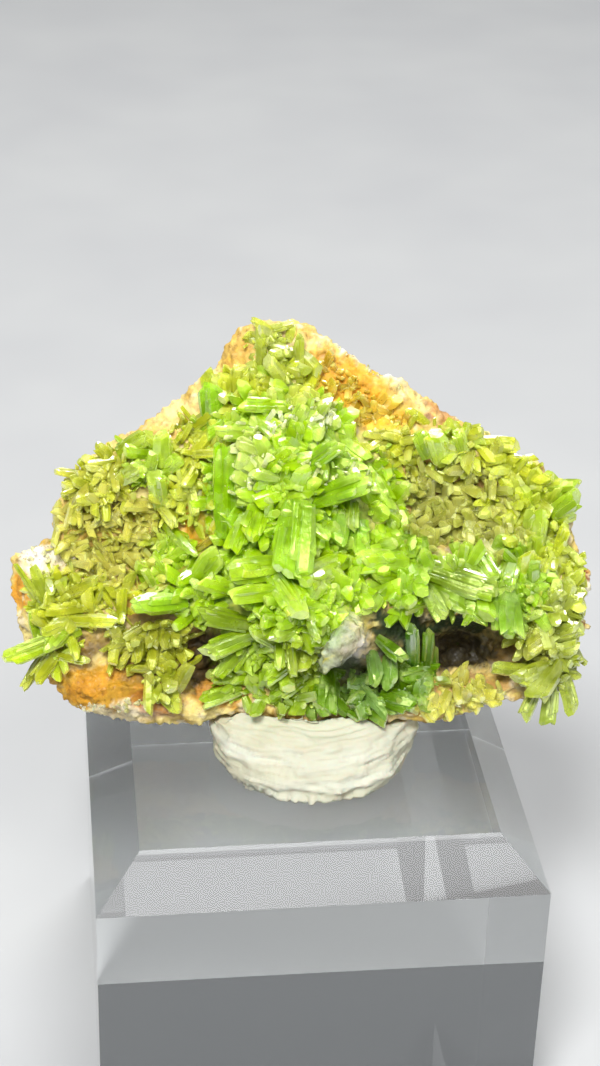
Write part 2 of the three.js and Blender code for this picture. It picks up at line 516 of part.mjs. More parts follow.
let taken = join([plateSolid(GAP, GAP), quartzSolid(GAP)]);
for (const cluster of CLUSTERS) {
  const solid = largestBody(clusterSolid(cluster, 0).subtract(taken));
  specimen.add(piece(cluster.name, solid, stone(cluster.colour, 0.3)));
  taken = taken.add(clusterSolid(cluster, GAP));
}

const putty = largestBody(puttySolid().subtract(taken));
specimen.add(piece("mounting_putty", putty, stone(PUTTY_COLOUR, 0.9)));
pyromorphite.add(piece("acrylic_block", blockSolid(), stone(BLOCK_COLOUR, 0.05)));

export default pyromorphite;
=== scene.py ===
import math
import random

import bpy
import numpy as np
from mathutils import Matrix, Vector, noise
from mathutils.bvhtree import BVHTree


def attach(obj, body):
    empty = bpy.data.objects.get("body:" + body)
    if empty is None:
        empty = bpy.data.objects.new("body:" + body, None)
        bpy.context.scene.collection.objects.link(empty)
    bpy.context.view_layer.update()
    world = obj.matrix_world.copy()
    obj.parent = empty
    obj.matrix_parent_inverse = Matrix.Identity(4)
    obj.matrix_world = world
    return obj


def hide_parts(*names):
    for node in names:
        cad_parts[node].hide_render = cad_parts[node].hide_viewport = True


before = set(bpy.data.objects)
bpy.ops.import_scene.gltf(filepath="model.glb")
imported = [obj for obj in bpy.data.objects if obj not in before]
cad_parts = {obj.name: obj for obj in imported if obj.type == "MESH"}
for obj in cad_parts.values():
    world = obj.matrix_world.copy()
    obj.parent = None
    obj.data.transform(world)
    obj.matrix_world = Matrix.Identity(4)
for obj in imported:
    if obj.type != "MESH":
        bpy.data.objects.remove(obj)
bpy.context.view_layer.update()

MM = 0.001

# The face frame of the specimen, in millimetres: u to the right, v up the face, w out of it.
FACE_FOOT = (-1.2, -5.3, 36.5)
FACE_TURN = math.radians(7.28)
FACE_LEAN = math.radians(30)
FACE_ROLL = math.radians(1.68)
FACE = (
    Matrix.Scale(MM, 4)
    @ Matrix.Translation(FACE_FOOT)
    @ Matrix.Rotation(-FACE_TURN, 4, "Z")
    @ Matrix.Rotation(math.pi / 2 - FACE_LEAN, 4, "X")
    @ Matrix.Rotation(FACE_ROLL, 4, "Z")
)
FACE_BACK = FACE.inverted()
RAY_START = 30.0

CAMERA_PLACE = (-0.02217, -0.16803, 0.15236)
CAMERA_RIGHT = (0.9934, -0.112, 0.0253)
CAMERA_DOWN = (-0.0347, -0.5032, -0.8635)
CAMERA_AXIS = (0.1095, 0.8569, -0.5037)
CAMERA_LENS = 74.4
SENSOR_LONG_SIDE = 36.0

ROCK_VOXEL = 0.24 * MM
PUTTY_VOXEL = 0.22 * MM
# The height of the putty's underside, and of the lip pressed out over the block, in millimetres.
PUTTY_FOOT = 31.6
PUTTY_LIP = 1.3
# Rock further out of the face than this belongs to its front, with its stains and painted shade.
BACK_STARTS = -1.6
SHARP_ANGLE = math.radians(14)

# Colours as they look, 0 to 255, turned into linear light by linear().
LIME = (170, 228, 0)
BRIGHT_LIME = (196, 238, 20)
TEAL_LIME = (160, 222, 70)
FROST = (240, 252, 150)
LEAF = (116, 164, 0)
# Colour of painted shade in gaps and under overhangs among the crystals.
PAINTED_SHADE_GREEN = (44, 66, 0)
YELLOW_GREEN = (224, 228, 50)
OLIVE = (156, 160, 14)
PALE_GREEN = (224, 236, 82)
STRAW = (238, 228, 102)
HONEY = (190, 158, 56)
AMBER = (255, 206, 64)
CREAM = (240, 228, 196)
WHITE = (250, 246, 236)
OCHRE = (214, 170, 74)
ORANGE = (222, 152, 30)
RUST = (160, 84, 28)
BROWN = (98, 74, 18)
# Colour of painted shade in holes, recesses and the cavity.
PAINTED_SHADE_BROWN = (44, 36, 8)
LILAC_GREY = (194, 188, 186)
PUTTY = (208, 208, 190)
QUARTZ_CREAM = (232, 214, 142)
QUARTZ_OCHRE = (208, 172, 84)


def linear(colour):
    """The linear light of a colour given as it looks, as an array of three."""
    share = np.array(colour, float) / 255
    return np.where(share <= 0.04045, share / 12.92, ((share + 0.055) / 1.055) ** 2.4)


# How soft the edge of a stain or tint is, from 1 for a point-like middle upwards.
SPOT_EDGE = 1.6
# Stains of the bare rock, and painted shade in its recesses, holes, gaps and under overhangs: name, middle
# (u, v), half widths, turn in degrees, colour, strength.
ROCK_STAINS_AND_SHADE = [
    ("crest ochre", (-5.6, 34.0), (2.0, 2.6), 20, OCHRE, 0.8),
    ("crest lens", (-0.9, 34.4), (1.3, 1.1), 0, (206, 186, 140), 0.9),
    ("limonite slope", (4.6, 30.6), (4.6, 2.4), -35, (228, 172, 50), 1.0),
    ("limonite foot", (8.4, 27.8), (2.6, 1.6), -20, AMBER, 0.8),
    ("white upper edge", (6.4, 33.6), (4.2, 0.9), -38, WHITE, 1.0),
    ("rust upper right", (13.0, 28.4), (1.6, 0.8), -30, RUST, 0.7),
    ("left upper matrix", (-11.0, 27.8), (2.6, 2.2), 35, (236, 208, 140), 0.8),
    ("left upper orange", (-12.4, 26.8), (1.2, 0.7), 0, OCHRE, 0.6),
    ("rim orange left", (-17.2, 23.2), (1.2, 0.9), 0, OCHRE, 0.5),
    ("left basin tan", (-18.6, 16.6), (4.6, 3.0), 0, HONEY, 0.8),
    ("left basin white", (-22.6, 15.2), (2.4, 1.5), 0, WHITE, 0.9),
    # Painted shade in a hole of the basin.
    ("left basin dark hole", (-16.8, 20.8), (1.1, 0.8), 0, PAINTED_SHADE_BROWN, 0.9),
    ("basin middle orange", (-9.2, 18.2), (1.3, 2.1), 10, ORANGE, 1.0),
    ("left end orange", (-25.4, 12.4), (0.9, 1.8), 0, ORANGE, 0.9),
    ("under left spray", (-14.6, 11.6), (1.4, 1.8), 0, OCHRE, 0.8),
    ("strip over the ledge", (-12.6, 9.8), (4.4, 0.9), 0, BROWN, 0.8),
    ("lower left ledge", (-17.0, 3.4), (5.6, 2.0), 0, (196, 148, 36), 1.0),
    ("lower left pale rim", (-17.4, 0.9), (5.6, 0.8), 5, CREAM, 0.8),
    ("ledge rust", (-12.6, 2.2), (2.2, 1.2), 0, RUST, 0.6),
    ("ledge orange streak", (-18.4, 3.6), (2.6, 0.7), 15, ORANGE, 0.5),
    # The next three are painted shade in recesses.
    ("left recess", (-8.4, 6.2), (2.2, 3.2), 0, (66, 48, 8), 1.0),
    ("left recess deep", (-8.6, 6.6), (0.9, 1.6), 0, PAINTED_SHADE_BROWN, 0.8),
    ("recess by the corner", (-18.8, 7.0), (1.8, 0.8), 0, BROWN, 0.7),
    ("recess foot orange", (-7.0, 2.6), (2.2, 1.2), 0, ORANGE, 0.7),
    ("quartz", (4.1, 7.2), (2.3, 2.9), 0, LILAC_GREY, 1.0),
    ("quartz ochre rim", (1.0, 7.4), (1.2, 1.1), 0, OCHRE, 0.8),
    # Painted shade behind the quartz.
    ("behind the quartz", (8.2, 8.4), (1.5, 2.4), 0, (44, 56, 10), 0.9),
    # The next three are painted shade in the gaps between crystals.
    ("gap by the barrels", (-7.2, 12.0), (1.4, 2.4), 0, PAINTED_SHADE_GREEN, 0.9),
    ("lower left gaps", (-13.0, 6.2), (3.4, 2.8), 0, BROWN, 0.9),
    ("corner gaps", (-20.6, 8.0), (3.6, 2.4), 0, BROWN, 0.5),
    # Painted shade in the cavity under the overhanging ledge.
    ("cavity", (15.0, 6.6), (4.4, 1.9), 0, PAINTED_SHADE_BROWN, 1.0),
    ("cavity rust", (19.4, 6.4), (1.2, 2.2), 0, BROWN, 0.8),
    ("cavity foot", (16.4, 3.4), (3.6, 0.9), 0, RUST, 0.5),
    # The next three are painted shade under the overhang and the ledge.
    ("under the overhang", (4.6, 3.8), (5.2, 2.2), 0, PAINTED_SHADE_GREEN, 0.9),
    ("under the ledge", (9.8, 8.8), (2.6, 1.8), -10, (34, 52, 12), 1.0),
    ("under the ledge right", (15.0, 9.2), (4.4, 0.9), 0, (34, 52, 12), 1.0),
    ("right basin", (14.6, 20.4), (5.4, 3.6), -8, (150, 118, 40), 0.9),
    ("right basin rust", (12.6, 22.6), (3.2, 1.0), -30, RUST, 0.45),
    # The next two are painted shade in holes.
    ("right basin hole", (15.9, 21.9), (1.3, 0.5), 0, BROWN, 0.8),
    ("right dark hole", (22.6, 13.1), (0.9, 0.5), 0, PAINTED_SHADE_BROWN, 0.9),
    ("right end white", (26.4, 12.0), (0.8, 2.2), 0, WHITE, 0.9),
    ("right end red spots", (26.2, 14.6), (0.5, 1.2), 0, RUST, 0.9),
    ("right end rust", (25.6, 9.6), (0.7, 1.4), 0, RUST, 0.7),
    ("lower edge middle", (-2.0, 0.6), (2.2, 0.8), 0, OCHRE, 0.6),
    ("central mass", (-0.8, 18.0), (7.6, 11.6), 0, LEAF, 0.9),
    ("left barrels", (-11.0, 13.2), (2.6, 2.4), 0, LEAF, 0.8),
    ("lower fan", (-3.6, 6.4), (3.4, 2.8), 0, LEAF, 0.8),
    ("right ledge", (16.2, 12.9), (5.4, 2.2), -8, LEAF, 0.8),
    ("right rim", (22.6, 17.6), (2.2, 4.0), 0, OLIVE, 0.7),
    ("lower right", (23.2, 6.6), (2.6, 4.8), 0, (104, 104, 20), 0.9),
    ("left rim", (-14.8, 23.4), (4.2, 2.0), 20, OLIVE, 0.6),
]

# Tints that crystals take near a place, some of them painted shade: name, middle, half widths, colour,
# strength.
CRYSTAL_TINTS = [
    ("frosty left ridge", (-4.4, 24.2), (1.9, 2.4), FROST, 0.7),
    ("frosty right ridge", (3.4, 22.9), (2.9, 1.3), FROST, 0.55),
    ("frosty crown", (0.4, 28.2), (3.0, 1.2), FROST, 0.45),
    ("pale rounded group", (4.8, 17.0), (1.9, 1.3), TEAL_LIME, 0.8),
    ("vivid patch", (2.4, 24.3), (1.6, 1.1), LIME, 0.8),
    ("vivid lower patch", (4.2, 21.0), (2.0, 1.2), LIME, 0.8),
    ("long left blade", (-6.2, 21.6), (1.2, 3.4), LIME, 0.9),
    # Painted shade in a recess among the crystals.
    ("dark recess", (4.8, 19.0), (0.9, 1.0), PAINTED_SHADE_GREEN, 0.5),
    ("broad middle barrel", (-0.3, 16.6), (1.6, 2.6), LIME, 0.85),
    ("brushy composite", (-4.2, 13.2), (1.8, 1.9), PALE_GREEN, 0.2),
    ("olive pair", (2.2, 13.9), (1.9, 1.3), OLIVE, 0.6),
    ("pale under the olives", (0.4, 7.0), (1.8, 1.8), PALE_GREEN, 0.55),
    ("right flat blade", (8.0, 15.0), (2.0, 1.0), BRIGHT_LIME, 0.7),
    ("upper left vivid barrel", (-7.7, 28.8), (1.5, 2.0), LIME, 1.0),
    ("white spike", (-3.0, 26.6), (0.6, 0.8), FROST, 0.7),
    ("crest columns", (-2.0, 33.6), (2.6, 2.2), (200, 216, 96), 0.7),
    ("left rim vivid", (-13.2, 23.6), (1.9, 2.6), LIME, 0.8),
    ("left rim pale end", (-20.6, 22.8), (1.4, 0.7), STRAW, 0.9),
    ("left rim tan", (-17.0, 23.0), (1.6, 1.2), STRAW, 0.7),
    ("left edge under the spike", (-20.4, 20.4), (1.6, 1.4), STRAW, 0.6),
    ("pale beside the blade", (-9.4, 20.2), (0.9, 1.6), PALE_GREEN, 0.8),
    ("slanting blade", (-10.6, 17.0), (1.9, 2.0), BRIGHT_LIME, 0.7),
    ("golden wedge", (-8.0, 16.8), (1.0, 0.7), AMBER, 0.8),
    ("round left barrel", (-12.6, 11.0), (2.0, 1.3), LIME, 0.9),
    ("left corner leaves", (-23.0, 7.4), (2.6, 1.4), LIME, 0.75),
    ("left corner blades", (-23.2, 12.6), (1.8, 2.0), (200, 222, 74), 0.6),
    ("lower left pale", (-12.2, 2.6), (2.0, 1.8), PALE_GREEN, 0.8),
    ("lower left small", (-17.0, 5.8), (2.0, 1.4), STRAW, 0.5),
    ("upper right pale", (9.4, 26.0), (2.2, 1.0), STRAW, 0.6),
    ("upper right green", (13.0, 25.4), (2.0, 1.5), LIME, 0.7),
    ("right rim rounded", (24.4, 20.6), (1.4, 1.8), LIME, 0.55),
    ("right rim teal", (21.8, 17.6), (0.9, 2.2), TEAL_LIME, 0.4),
    ("ledge blade face", (14.2, 13.8), (2.6, 1.2), PALE_GREEN, 0.2),
    ("ledge blade tip", (17.2, 12.4), (1.5, 1.0), BRIGHT_LIME, 0.8),
    ("ledge barrel", (19.0, 10.4), (1.5, 2.0), (166, 214, 70), 0.7),
    ("ledge brush", (12.8, 10.6), (1.6, 1.0), FROST, 0.35),
    # Painted shade on a crystal in the cavity under the ledge.
    ("cavity leaf", (10.6, 7.6), (1.0, 1.9), (60, 128, 14), 0.9),
    ("cavity pale blades", (6.8, 4.0), (1.8, 2.0), (178, 220, 140), 0.5),
    ("lower right white", (22.0, 7.6), (1.6, 1.6), STRAW, 0.55),
    ("lower right foot", (22.4, 2.0), (2.4, 1.6), (184, 208, 110), 0.6),
    ("lower lip", (14.6, 2.8), (2.6, 1.6), STRAW, 0.7),
]

# Each cluster has its tint, its habits, patches of fine growth as [u, v, half width, half height,
# turn], the fine growth's crystals per square millimetre, length and radius, and its crystals as
# [foot u, foot v, tip u, tip v, lift of the tip, radius, thickness over width].
CLUSTERS = [{
    "name": "central_green_crystals", "slot": "vivid_pyromorphite", "tint": (196, 240, 4),
    "habits": ("leaf", "barrel", "barrel"), "brush": 4, "growth": (4.4, 1.5, 0.46),
    "patches": [(-1.2, 23.4, 6.6, 7.0, 0), (-0.4, 14.2, 6.4, 4.4, 0), (7.2, 14.8, 3.0, 2.0, 0),
                (-6.8, 20.5, 1.3, 5.0, 0), (8.0, 20.4, 1.5, 5.2, 12), (4.6, 11.9, 3.4, 1.1, 0),
                (0.6, 9.4, 2.6, 2.0, 0)],
    "crystals": [
        (-6.4, 17.9, -6.2, 25.2, 1.6, 1.35, 0.8), (-4.9, 20.2, -4.6, 23.6, 1.4, 0.9, 0.8),
        (-1.2, 28.8, -4.9, 28.9, 0.9, 0.75, 0.8), (-3.5, 27.9, -1.2, 26.2, 1.2, 0.95, 0.7),
        (-3.6, 26.2, -7.1, 26.5, 1.0, 0.8, 0.8), (1.6, 27.6, 2.8, 29.3, 1.0, 0.7, 0.8),
        (-0.4, 27.0, 0.8, 28.8, 1.1, 0.7, 0.8), (1.0, 23.4, 3.6, 25.4, 1.4, 1.1, 0.7),
        (4.4, 25.6, 6.4, 24.1, 1.0, 0.8, 0.7), (-2.6, 23.4, -0.2, 25.0, 1.4, 0.8, 0.8),
        (2.0, 20.4, 6.2, 21.8, 1.5, 1.15, 0.7), (6.6, 23.2, 8.7, 19.6, 0.9, 0.7, 0.6),
        (7.4, 20.6, 9.0, 17.6, 0.7, 0.6, 0.6), (4.9, 20.1, 4.8, 17.8, 1.0, 0.8, 0.8),
        (0.0, 19.6, -0.6, 13.8, 1.8, 1.75, 0.75), (-3.2, 20.2, -4.2, 17.2, 1.6, 1.1, 0.75),
        (-4.6, 18.6, -5.6, 15.8, 1.2, 0.9, 0.75), (4.0, 19.0, 3.6, 16.6, 1.8, 0.95, 0.9),
        (5.9, 18.2, 5.8, 15.6, 1.7, 0.85, 0.9), (-1.6, 14.4, -5.8, 14.0, 2.0, 1.25, 0.7),
        (-1.8, 12.2, -5.7, 11.7, 1.6, 1.0, 0.7), (-1.7, 13.6, 0.5, 10.3, 2.0, 1.15, 0.8),
        (4.2, 14.8, 0.6, 13.1, 1.6, 1.15, 0.8), (9.6, 15.0, 5.8, 14.9, 1.8, 1.15, 0.55),
        (4.6, 26.3, 3.4, 27.8, 0.9, 0.45, 0.8), (5.6, 23.8, 6.9, 21.6, 0.8, 0.4, 0.7),
        (-0.2, 19.4, 2.9, 16.9, 1.6, 0.55, 0.6), (9.4, 16.4, 6.6, 16.0, 1.2, 0.5, 0.6),
        (9.2, 13.4, 7.0, 13.5, 1.4, 0.6, 0.7), (7.4, 11.8, 6.2, 10.4, 1.4, 0.7, 0.8),
        (-1.9, 22.3, -3.9, 22.8, 1.5, 0.7, 0.8), (-3.0, 24.6, -5.2, 25.4, 1.3, 0.7, 0.8),
        (-3.6, 27.2, -2.5, 26.1, 1.2, 0.25, 0.8), (4.5, 13.4, 2.4, 12.2, 1.2, 0.3, 0.7),
    ],
}, {
    "name": "crest_crystals", "slot": "yellow_pyromorphite", "tint": YELLOW_GREEN,
    "habits": ("prism", "barrel"), "brush": 3, "growth": (4.6, 1.4, 0.36),
    "patches": [(-1.6, 32.6, 2.6, 2.0, 0), (-6.7, 29.6, 1.8, 2.1, 0), (-4.4, 31.4, 2.2, 1.3, 30),
                (-1.6, 30.2, 4.6, 1.8, 0), (-2.6, 34.8, 2.0, 0.9, 0), (-8.2, 25.4, 1.2, 1.7, 0)],
    "crystals": [
        (-3.1, 32.0, -3.2, 35.9, 0.4, 0.6, 0.8), (0.3, 31.4, 0.4, 35.1, 0.3, 0.5, 0.8),
        (-2.4, 35.7, -4.0, 36.6, 0.2, 0.5, 0.8), (-1.0, 30.8, -2.6, 32.8, 0.9, 0.8, 0.8),
        (-3.6, 30.8, -4.2, 32.6, 0.8, 0.9, 0.8), (-5.2, 30.4, -5.0, 32.4, 1.0, 1.0, 0.9),
        (-7.6, 27.4, -7.8, 30.8, 1.0, 1.15, 0.9), (-3.2, 35.6, -0.4, 36.4, 0.3, 0.6, 0.8),
        (-7.8, 30.2, -8.2, 32.0, 0.6, 0.8, 0.9), (-6.4, 29.8, -6.5, 31.8, 0.9, 0.7, 0.9),
    ],
}, {
    "name": "lower_fan_crystals", "slot": "vivid_pyromorphite", "tint": (170, 204, 10),
    "habits": ("leaf", "barrel"), "brush": 6, "growth": (4.0, 1.6, 0.4),
    "patches": [(-3.4, 7.6, 3.6, 2.2, 0), (-3.4, 4.4, 4.0, 1.9, 10), (-0.4, 5.6, 2.4, 3.0, 0),
                (-0.6, 2.4, 3.0, 1.0, 0)],
    "crystals": [
        (-4.2, 9.3, -8.6, 10.3, 1.5, 0.9, 0.7), (-4.4, 8.2, -8.1, 6.8, 1.6, 1.0, 0.7),
        (-4.6, 7.4, -7.2, 4.5, 1.2, 0.8, 0.7), (-1.5, 7.4, -4.0, 9.0, 1.8, 0.9, 0.7),
        (-1.6, 8.0, -1.5, 5.3, 1.6, 0.55, 0.8), (0.6, 4.4, -2.3, 2.7, 1.2, 0.95, 0.7),
        (0.0, 6.2, -2.8, 4.4, 1.6, 0.8, 0.7), (-5.4, 3.3, -8.6, 2.2, 1.0, 0.75, 0.8),
        (-0.5, 7.8, -0.2, 4.8, 1.4, 0.55, 0.8), (-4.6, 6.6, -5.6, 5.0, 1.2, 0.45, 0.8),
        (-5.5, 4.4, -7.6, 4.2, 0.9, 0.6, 0.8), (1.2, 10.0, 1.9, 8.0, 1.8, 0.5, 0.8),
    ],
}, {
    # The cavity's crystals take a darker tint as painted shade under the overhanging ledge.
    "name": "cavity_crystals", "slot": "dark_pyromorphite", "tint": LEAF,
    "habits": ("leaf", "leaf", "barrel"), "brush": 3, "growth": (3.4, 1.4, 0.38),
    "patches": [(6.6, 3.2, 5.2, 1.9, 0), (10.6, 4.8, 2.4, 2.2, 0), (5.6, 1.6, 4.6, 0.7, 0)],
    "crystals": [
        (2.8, 4.4, 2.6, 0.9, 1.2, 1.5, 0.7), (6.9, 6.4, 7.3, 3.7, 1.8, 0.75, 0.7),
        (5.8, 3.7, 8.2, 0.8, 1.4, 0.65, 0.6), (10.7, 5.1, 10.4, 9.3, 1.4, 0.95, 0.6),
        (12.0, 5.3, 12.2, 8.5, 1.0, 0.6, 0.7), (7.6, 7.8, 9.8, 6.1, 1.6, 0.75, 0.7),
        (12.0, 4.7, 9.6, 4.2, 1.2, 0.8, 0.8), (8.0, 2.7, 10.6, 1.9, 1.0, 0.95, 0.8),
        (11.4, 3.8, 11.3, 2.0, 0.8, 0.75, 0.8), (4.1, 2.7, 6.6, 1.3, 1.0, 0.45, 0.7),
        (8.4, 6.0, 8.5, 3.4, 1.2, 0.9, 0.7),
    ],
}, {
    "name": "lower_lip_crystals", "slot": "pale_pyromorphite", "tint": STRAW,
    "habits": ("prism", "barrel"), "brush": 3, "growth": (4.8, 1.1, 0.3),
    "patches": [(14.6, 2.7, 2.8, 1.5, 0), (12.6, 1.4, 2.2, 0.9, 0), (17.4, 2.6, 1.8, 0.9, 0)],
    "crystals": [
        (13.8, 2.8, 13.0, 1.4, 0.8, 0.6, 0.8), (14.6, 3.4, 14.8, 2.1, 0.8, 0.55, 0.9),
        (14.0, 3.8, 13.4, 4.7, 0.9, 0.5, 0.9), (16.3, 3.4, 16.9, 2.4, 0.8, 0.5, 0.9),
        (15.0, 3.9, 15.4, 5.6, 0.6, 0.4, 0.9), (12.6, 2.6, 12.2, 1.4, 0.8, 0.6, 0.8),
        (13.6, 1.8, 14.0, 0.5, 0.5, 0.45, 0.9),
    ],
}, {
    "name": "left_green_barrels", "slot": "vivid_pyromorphite", "tint": BRIGHT_LIME,
    "habits": ("barrel", "leaf"), "brush": 2.4, "growth": (3.6, 1.6, 0.4),
    "patches": [(-10.8, 12.9, 3.1, 2.9, 0), (-9.0, 10.2, 1.6, 1.2, 0), (-10.6, 16.0, 1.6, 1.4, 0),
                (-7.2, 12.4, 1.3, 2.2, 0)],
    "crystals": [
        (-12.0, 14.6, -9.0, 16.6, 1.4, 0.6, 0.6), (-9.2, 13.0, -7.0, 15.9, 1.6, 1.3, 0.45),
        (-10.4, 11.2, -14.6, 11.0, 1.8, 1.3, 0.8), (-11.6, 13.4, -13.1, 15.3, 1.0, 0.5, 0.6),
        (-8.8, 13.9, -10.7, 12.9, 1.8, 0.7, 0.7), (-8.6, 12.4, -10.4, 11.9, 1.8, 0.7, 0.7),
        (-9.0, 16.0, -6.9, 17.5, 0.8, 0.45, 0.7), (-12.4, 18.8, -9.0, 15.4, 1.6, 0.62, 0.6),
    ],
}, {
    "name": "left_rim_crystals", "slot": "yellow_pyromorphite", "tint": YELLOW_GREEN,
    "habits": ("barrel", "prism", "leaf"), "brush": 3, "growth": (4.4, 1.8, 0.31),
    "patches": [(-16.0, 23.2, 4.6, 2.3, 20), (-11.9, 22.2, 2.3, 2.8, 0), (-18.6, 21.8, 2.6, 1.6, 20),
                (-9.4, 22.0, 1.5, 3.4, 0), (-10.4, 26.4, 2.2, 1.3, 40)],
    "crystals": [
        (-19.0, 22.6, -21.8, 23.0, 0.6, 0.42, 0.8), (-15.8, 24.8, -13.3, 26.2, 1.0, 0.8, 0.8),
        (-15.8, 22.3, -13.8, 23.4, 1.4, 0.95, 0.8), (-12.2, 23.8, -12.2, 26.4, 1.2, 0.95, 0.9),
        (-12.6, 22.5, -10.4, 24.2, 1.3, 0.75, 0.7), (-12.4, 20.2, -12.8, 22.6, 1.5, 1.05, 0.9),
        (-11.8, 20.4, -10.2, 21.5, 1.2, 0.75, 0.9), (-10.4, 23.4, -9.9, 21.0, 1.0, 0.62, 0.9),
        (-12.6, 20.4, -10.8, 18.0, 1.3, 0.6, 0.6), (-18.8, 21.9, -21.1, 21.7, 0.4, 0.4, 0.9),
        (-17.7, 22.9, -19.1, 24.3, 0.8, 0.55, 0.9), (-16.9, 24.2, -18.0, 25.6, 0.7, 0.6, 0.9),
        (-13.4, 22.5, -12.9, 24.6, 1.3, 0.65, 0.9), (-9.5, 21.5, -9.1, 19.1, 0.9, 0.55, 0.9),
        (-9.0, 24.6, -6.9, 24.7, 0.8, 0.6, 0.8),
    ],
}, {
    "name": "left_basin_druse", "slot": "pale_pyromorphite", "tint": STRAW,
    "habits": ("prism", "leaf"), "brush": 2, "growth": (4.2, 1.8, 0.25),
    "patches": [(-16.6, 17.2, 5.6, 4.0, 0), (-15.6, 13.0, 4.6, 1.8, 0)],
    "crystals": [
        (-18.4, 19.2, -19.7, 18.7, 0.7, 0.4, 0.9), (-17.4, 19.3, -18.6, 17.8, 0.9, 0.45, 0.9),
        (-15.6, 18.6, -17.7, 18.2, 0.9, 0.5, 0.9), (-14.2, 16.8, -16.0, 17.2, 0.9, 0.5, 0.9),
        (-17.6, 15.6, -18.4, 16.6, 0.9, 0.4, 0.9), (-15.2, 15.4, -14.4, 16.2, 0.8, 0.4, 0.9),
        (-19.2, 20.5, -19.8, 19.4, 0.7, 0.35, 0.9),
    ],
}, {
    "name": "lower_left_crystals", "slot": "yellow_pyromorphite", "tint": (196, 198, 46),
    "habits": ("leaf", "barrel"), "brush": 2, "growth": (3.8, 1.7, 0.3),
    "patches": [(-12.9, 7.4, 3.0, 1.9, 0), (-12.1, 3.4, 1.6, 1.4, 0), (-12.3, 5.4, 2.0, 1.6, 0),
                (-15.2, 7.8, 2.4, 1.3, 0)],
    "crystals": [
        (-12.9, 8.8, -13.2, 7.3, 1.4, 0.8, 0.9), (-14.0, 8.8, -15.5, 7.8, 1.0, 0.5, 0.9),
        (-10.9, 8.6, -10.9, 7.1, 1.2, 0.7, 0.9), (-14.2, 7.8, -14.3, 5.7, 1.2, 0.65, 0.9),
        (-12.9, 7.4, -13.1, 5.1, 1.3, 0.68, 0.9), (-10.8, 7.4, -10.1, 5.4, 1.0, 0.5, 0.9),
        (-11.2, 3.1, -9.6, 5.6, 1.4, 0.8, 0.6), (-13.4, 4.2, -13.4, 1.2, 0.9, 0.6, 0.9),
        (-11.2, 3.3, -11.0, 1.2, 1.1, 0.8, 0.9), (-14.9, 6.9, -16.2, 5.2, 0.8, 0.4, 0.9),
        (-12.6, 5.0, -14.9, 5.2, 1.0, 0.5, 0.9), (-15.2, 8.0, -16.9, 6.8, 1.0, 0.42, 0.9),
        (-15.9, 8.8, -17.2, 8.3, 1.0, 0.5, 0.9), (-16.6, 6.0, -16.9, 4.5, 0.8, 0.3, 0.9),
        (-15.3, 6.3, -16.0, 5.1, 0.7, 0.32, 0.9), (-16.0, 7.2, -16.9, 6.0, 0.9, 0.5, 0.9),
        (-12.0, 8.6, -11.9, 6.9, 1.1, 0.5, 0.9), (-12.4, 3.5, -12.9, 2.3, 1.3, 0.5, 0.9),
    ],
}, {
    "name": "left_corner_spray", "slot": "yellow_pyromorphite", "tint": YELLOW_GREEN,
    "habits": ("leaf", "leaf", "barrel"), "brush": 3, "growth": (3.2, 1.6, 0.3),
    "patches": [(-20.4, 10.2, 3.7, 1.9, 0), (-21.8, 7.2, 2.1, 1.7, 0), (-18.4, 11.4, 4.8, 1.7, 0),
                (-22.0, 12.6, 2.4, 1.6, 0)],
    "crystals": [
        (-22.8, 10.7, -25.3, 14.6, 0.9, 0.38, 0.6), (-22.5, 11.1, -23.8, 14.4, 0.6, 0.6, 0.5),
        (-17.9, 10.9, -22.5, 10.3, 1.4, 0.6, 0.6), (-20.6, 9.6, -16.0, 9.6, 1.3, 0.6, 0.7),
        (-20.8, 11.8, -18.1, 13.0, 1.0, 0.7, 0.6), (-20.2, 8.4, -26.2, 6.1, 1.6, 1.05, 0.6),
        (-20.4, 8.2, -19.6, 6.1, 1.3, 0.48, 0.8), (-23.2, 6.2, -24.8, 3.3, 0.8, 0.6, 0.9),
        (-21.9, 6.4, -23.6, 4.1, 0.6, 0.8, 0.7), (-20.3, 9.4, -22.8, 8.4, 1.9, 0.8, 0.6),
        (-18.3, 10.8, -17.6, 12.5, 1.0, 0.4, 0.9), (-22.4, 8.8, -23.8, 10.4, 1.2, 0.7, 0.5),
        (-21.6, 6.4, -18.8, 5.9, 0.9, 0.5, 0.9), (-16.8, 10.9, -17.6, 12.2, 0.9, 0.32, 0.9),
        (-15.9, 10.1, -15.7, 12.4, 1.0, 0.5, 0.6), (-20.3, 9.4, -22.6, 7.0, 1.9, 0.8, 0.6),
    ],
}, {
    "name": "upper_right_crystals", "slot": "yellow_pyromorphite", "tint": YELLOW_GREEN,
    "habits": ("prism", "barrel"), "brush": 4, "growth": (4.6, 1.7, 0.31),
    "patches": [(12.4, 25.4, 3.4, 2.1, 0), (16.6, 25.2, 3.0, 1.6, -20), (9.2, 25.4, 2.4, 1.3, 0),
                (19.8, 23.8, 2.4, 1.1, -30)],
    "crystals": [
        (13.3, 24.0, 12.5, 26.4, 2.2, 1.15, 0.85), (12.0, 24.6, 11.0, 26.6, 1.2, 0.85, 0.85),
        (15.0, 24.8, 14.4, 26.6, 1.2, 0.7, 0.85), (17.1, 25.7, 19.9, 25.5, 1.0, 0.85, 0.6),
        (17.9, 24.4, 18.4, 25.8, 1.2, 0.65, 0.9), (10.6, 25.6, 7.8, 26.4, 0.8, 0.5, 0.7),
        (11.8, 26.2, 9.4, 25.6, 1.0, 0.4, 0.7), (15.2, 26.2, 16.8, 26.6, 1.0, 0.6, 0.8),
        (14.6, 26.4, 16.6, 26.9, 1.0, 0.6, 0.8), (15.6, 24.7, 15.2, 23.0, 1.0, 0.6, 0.9),
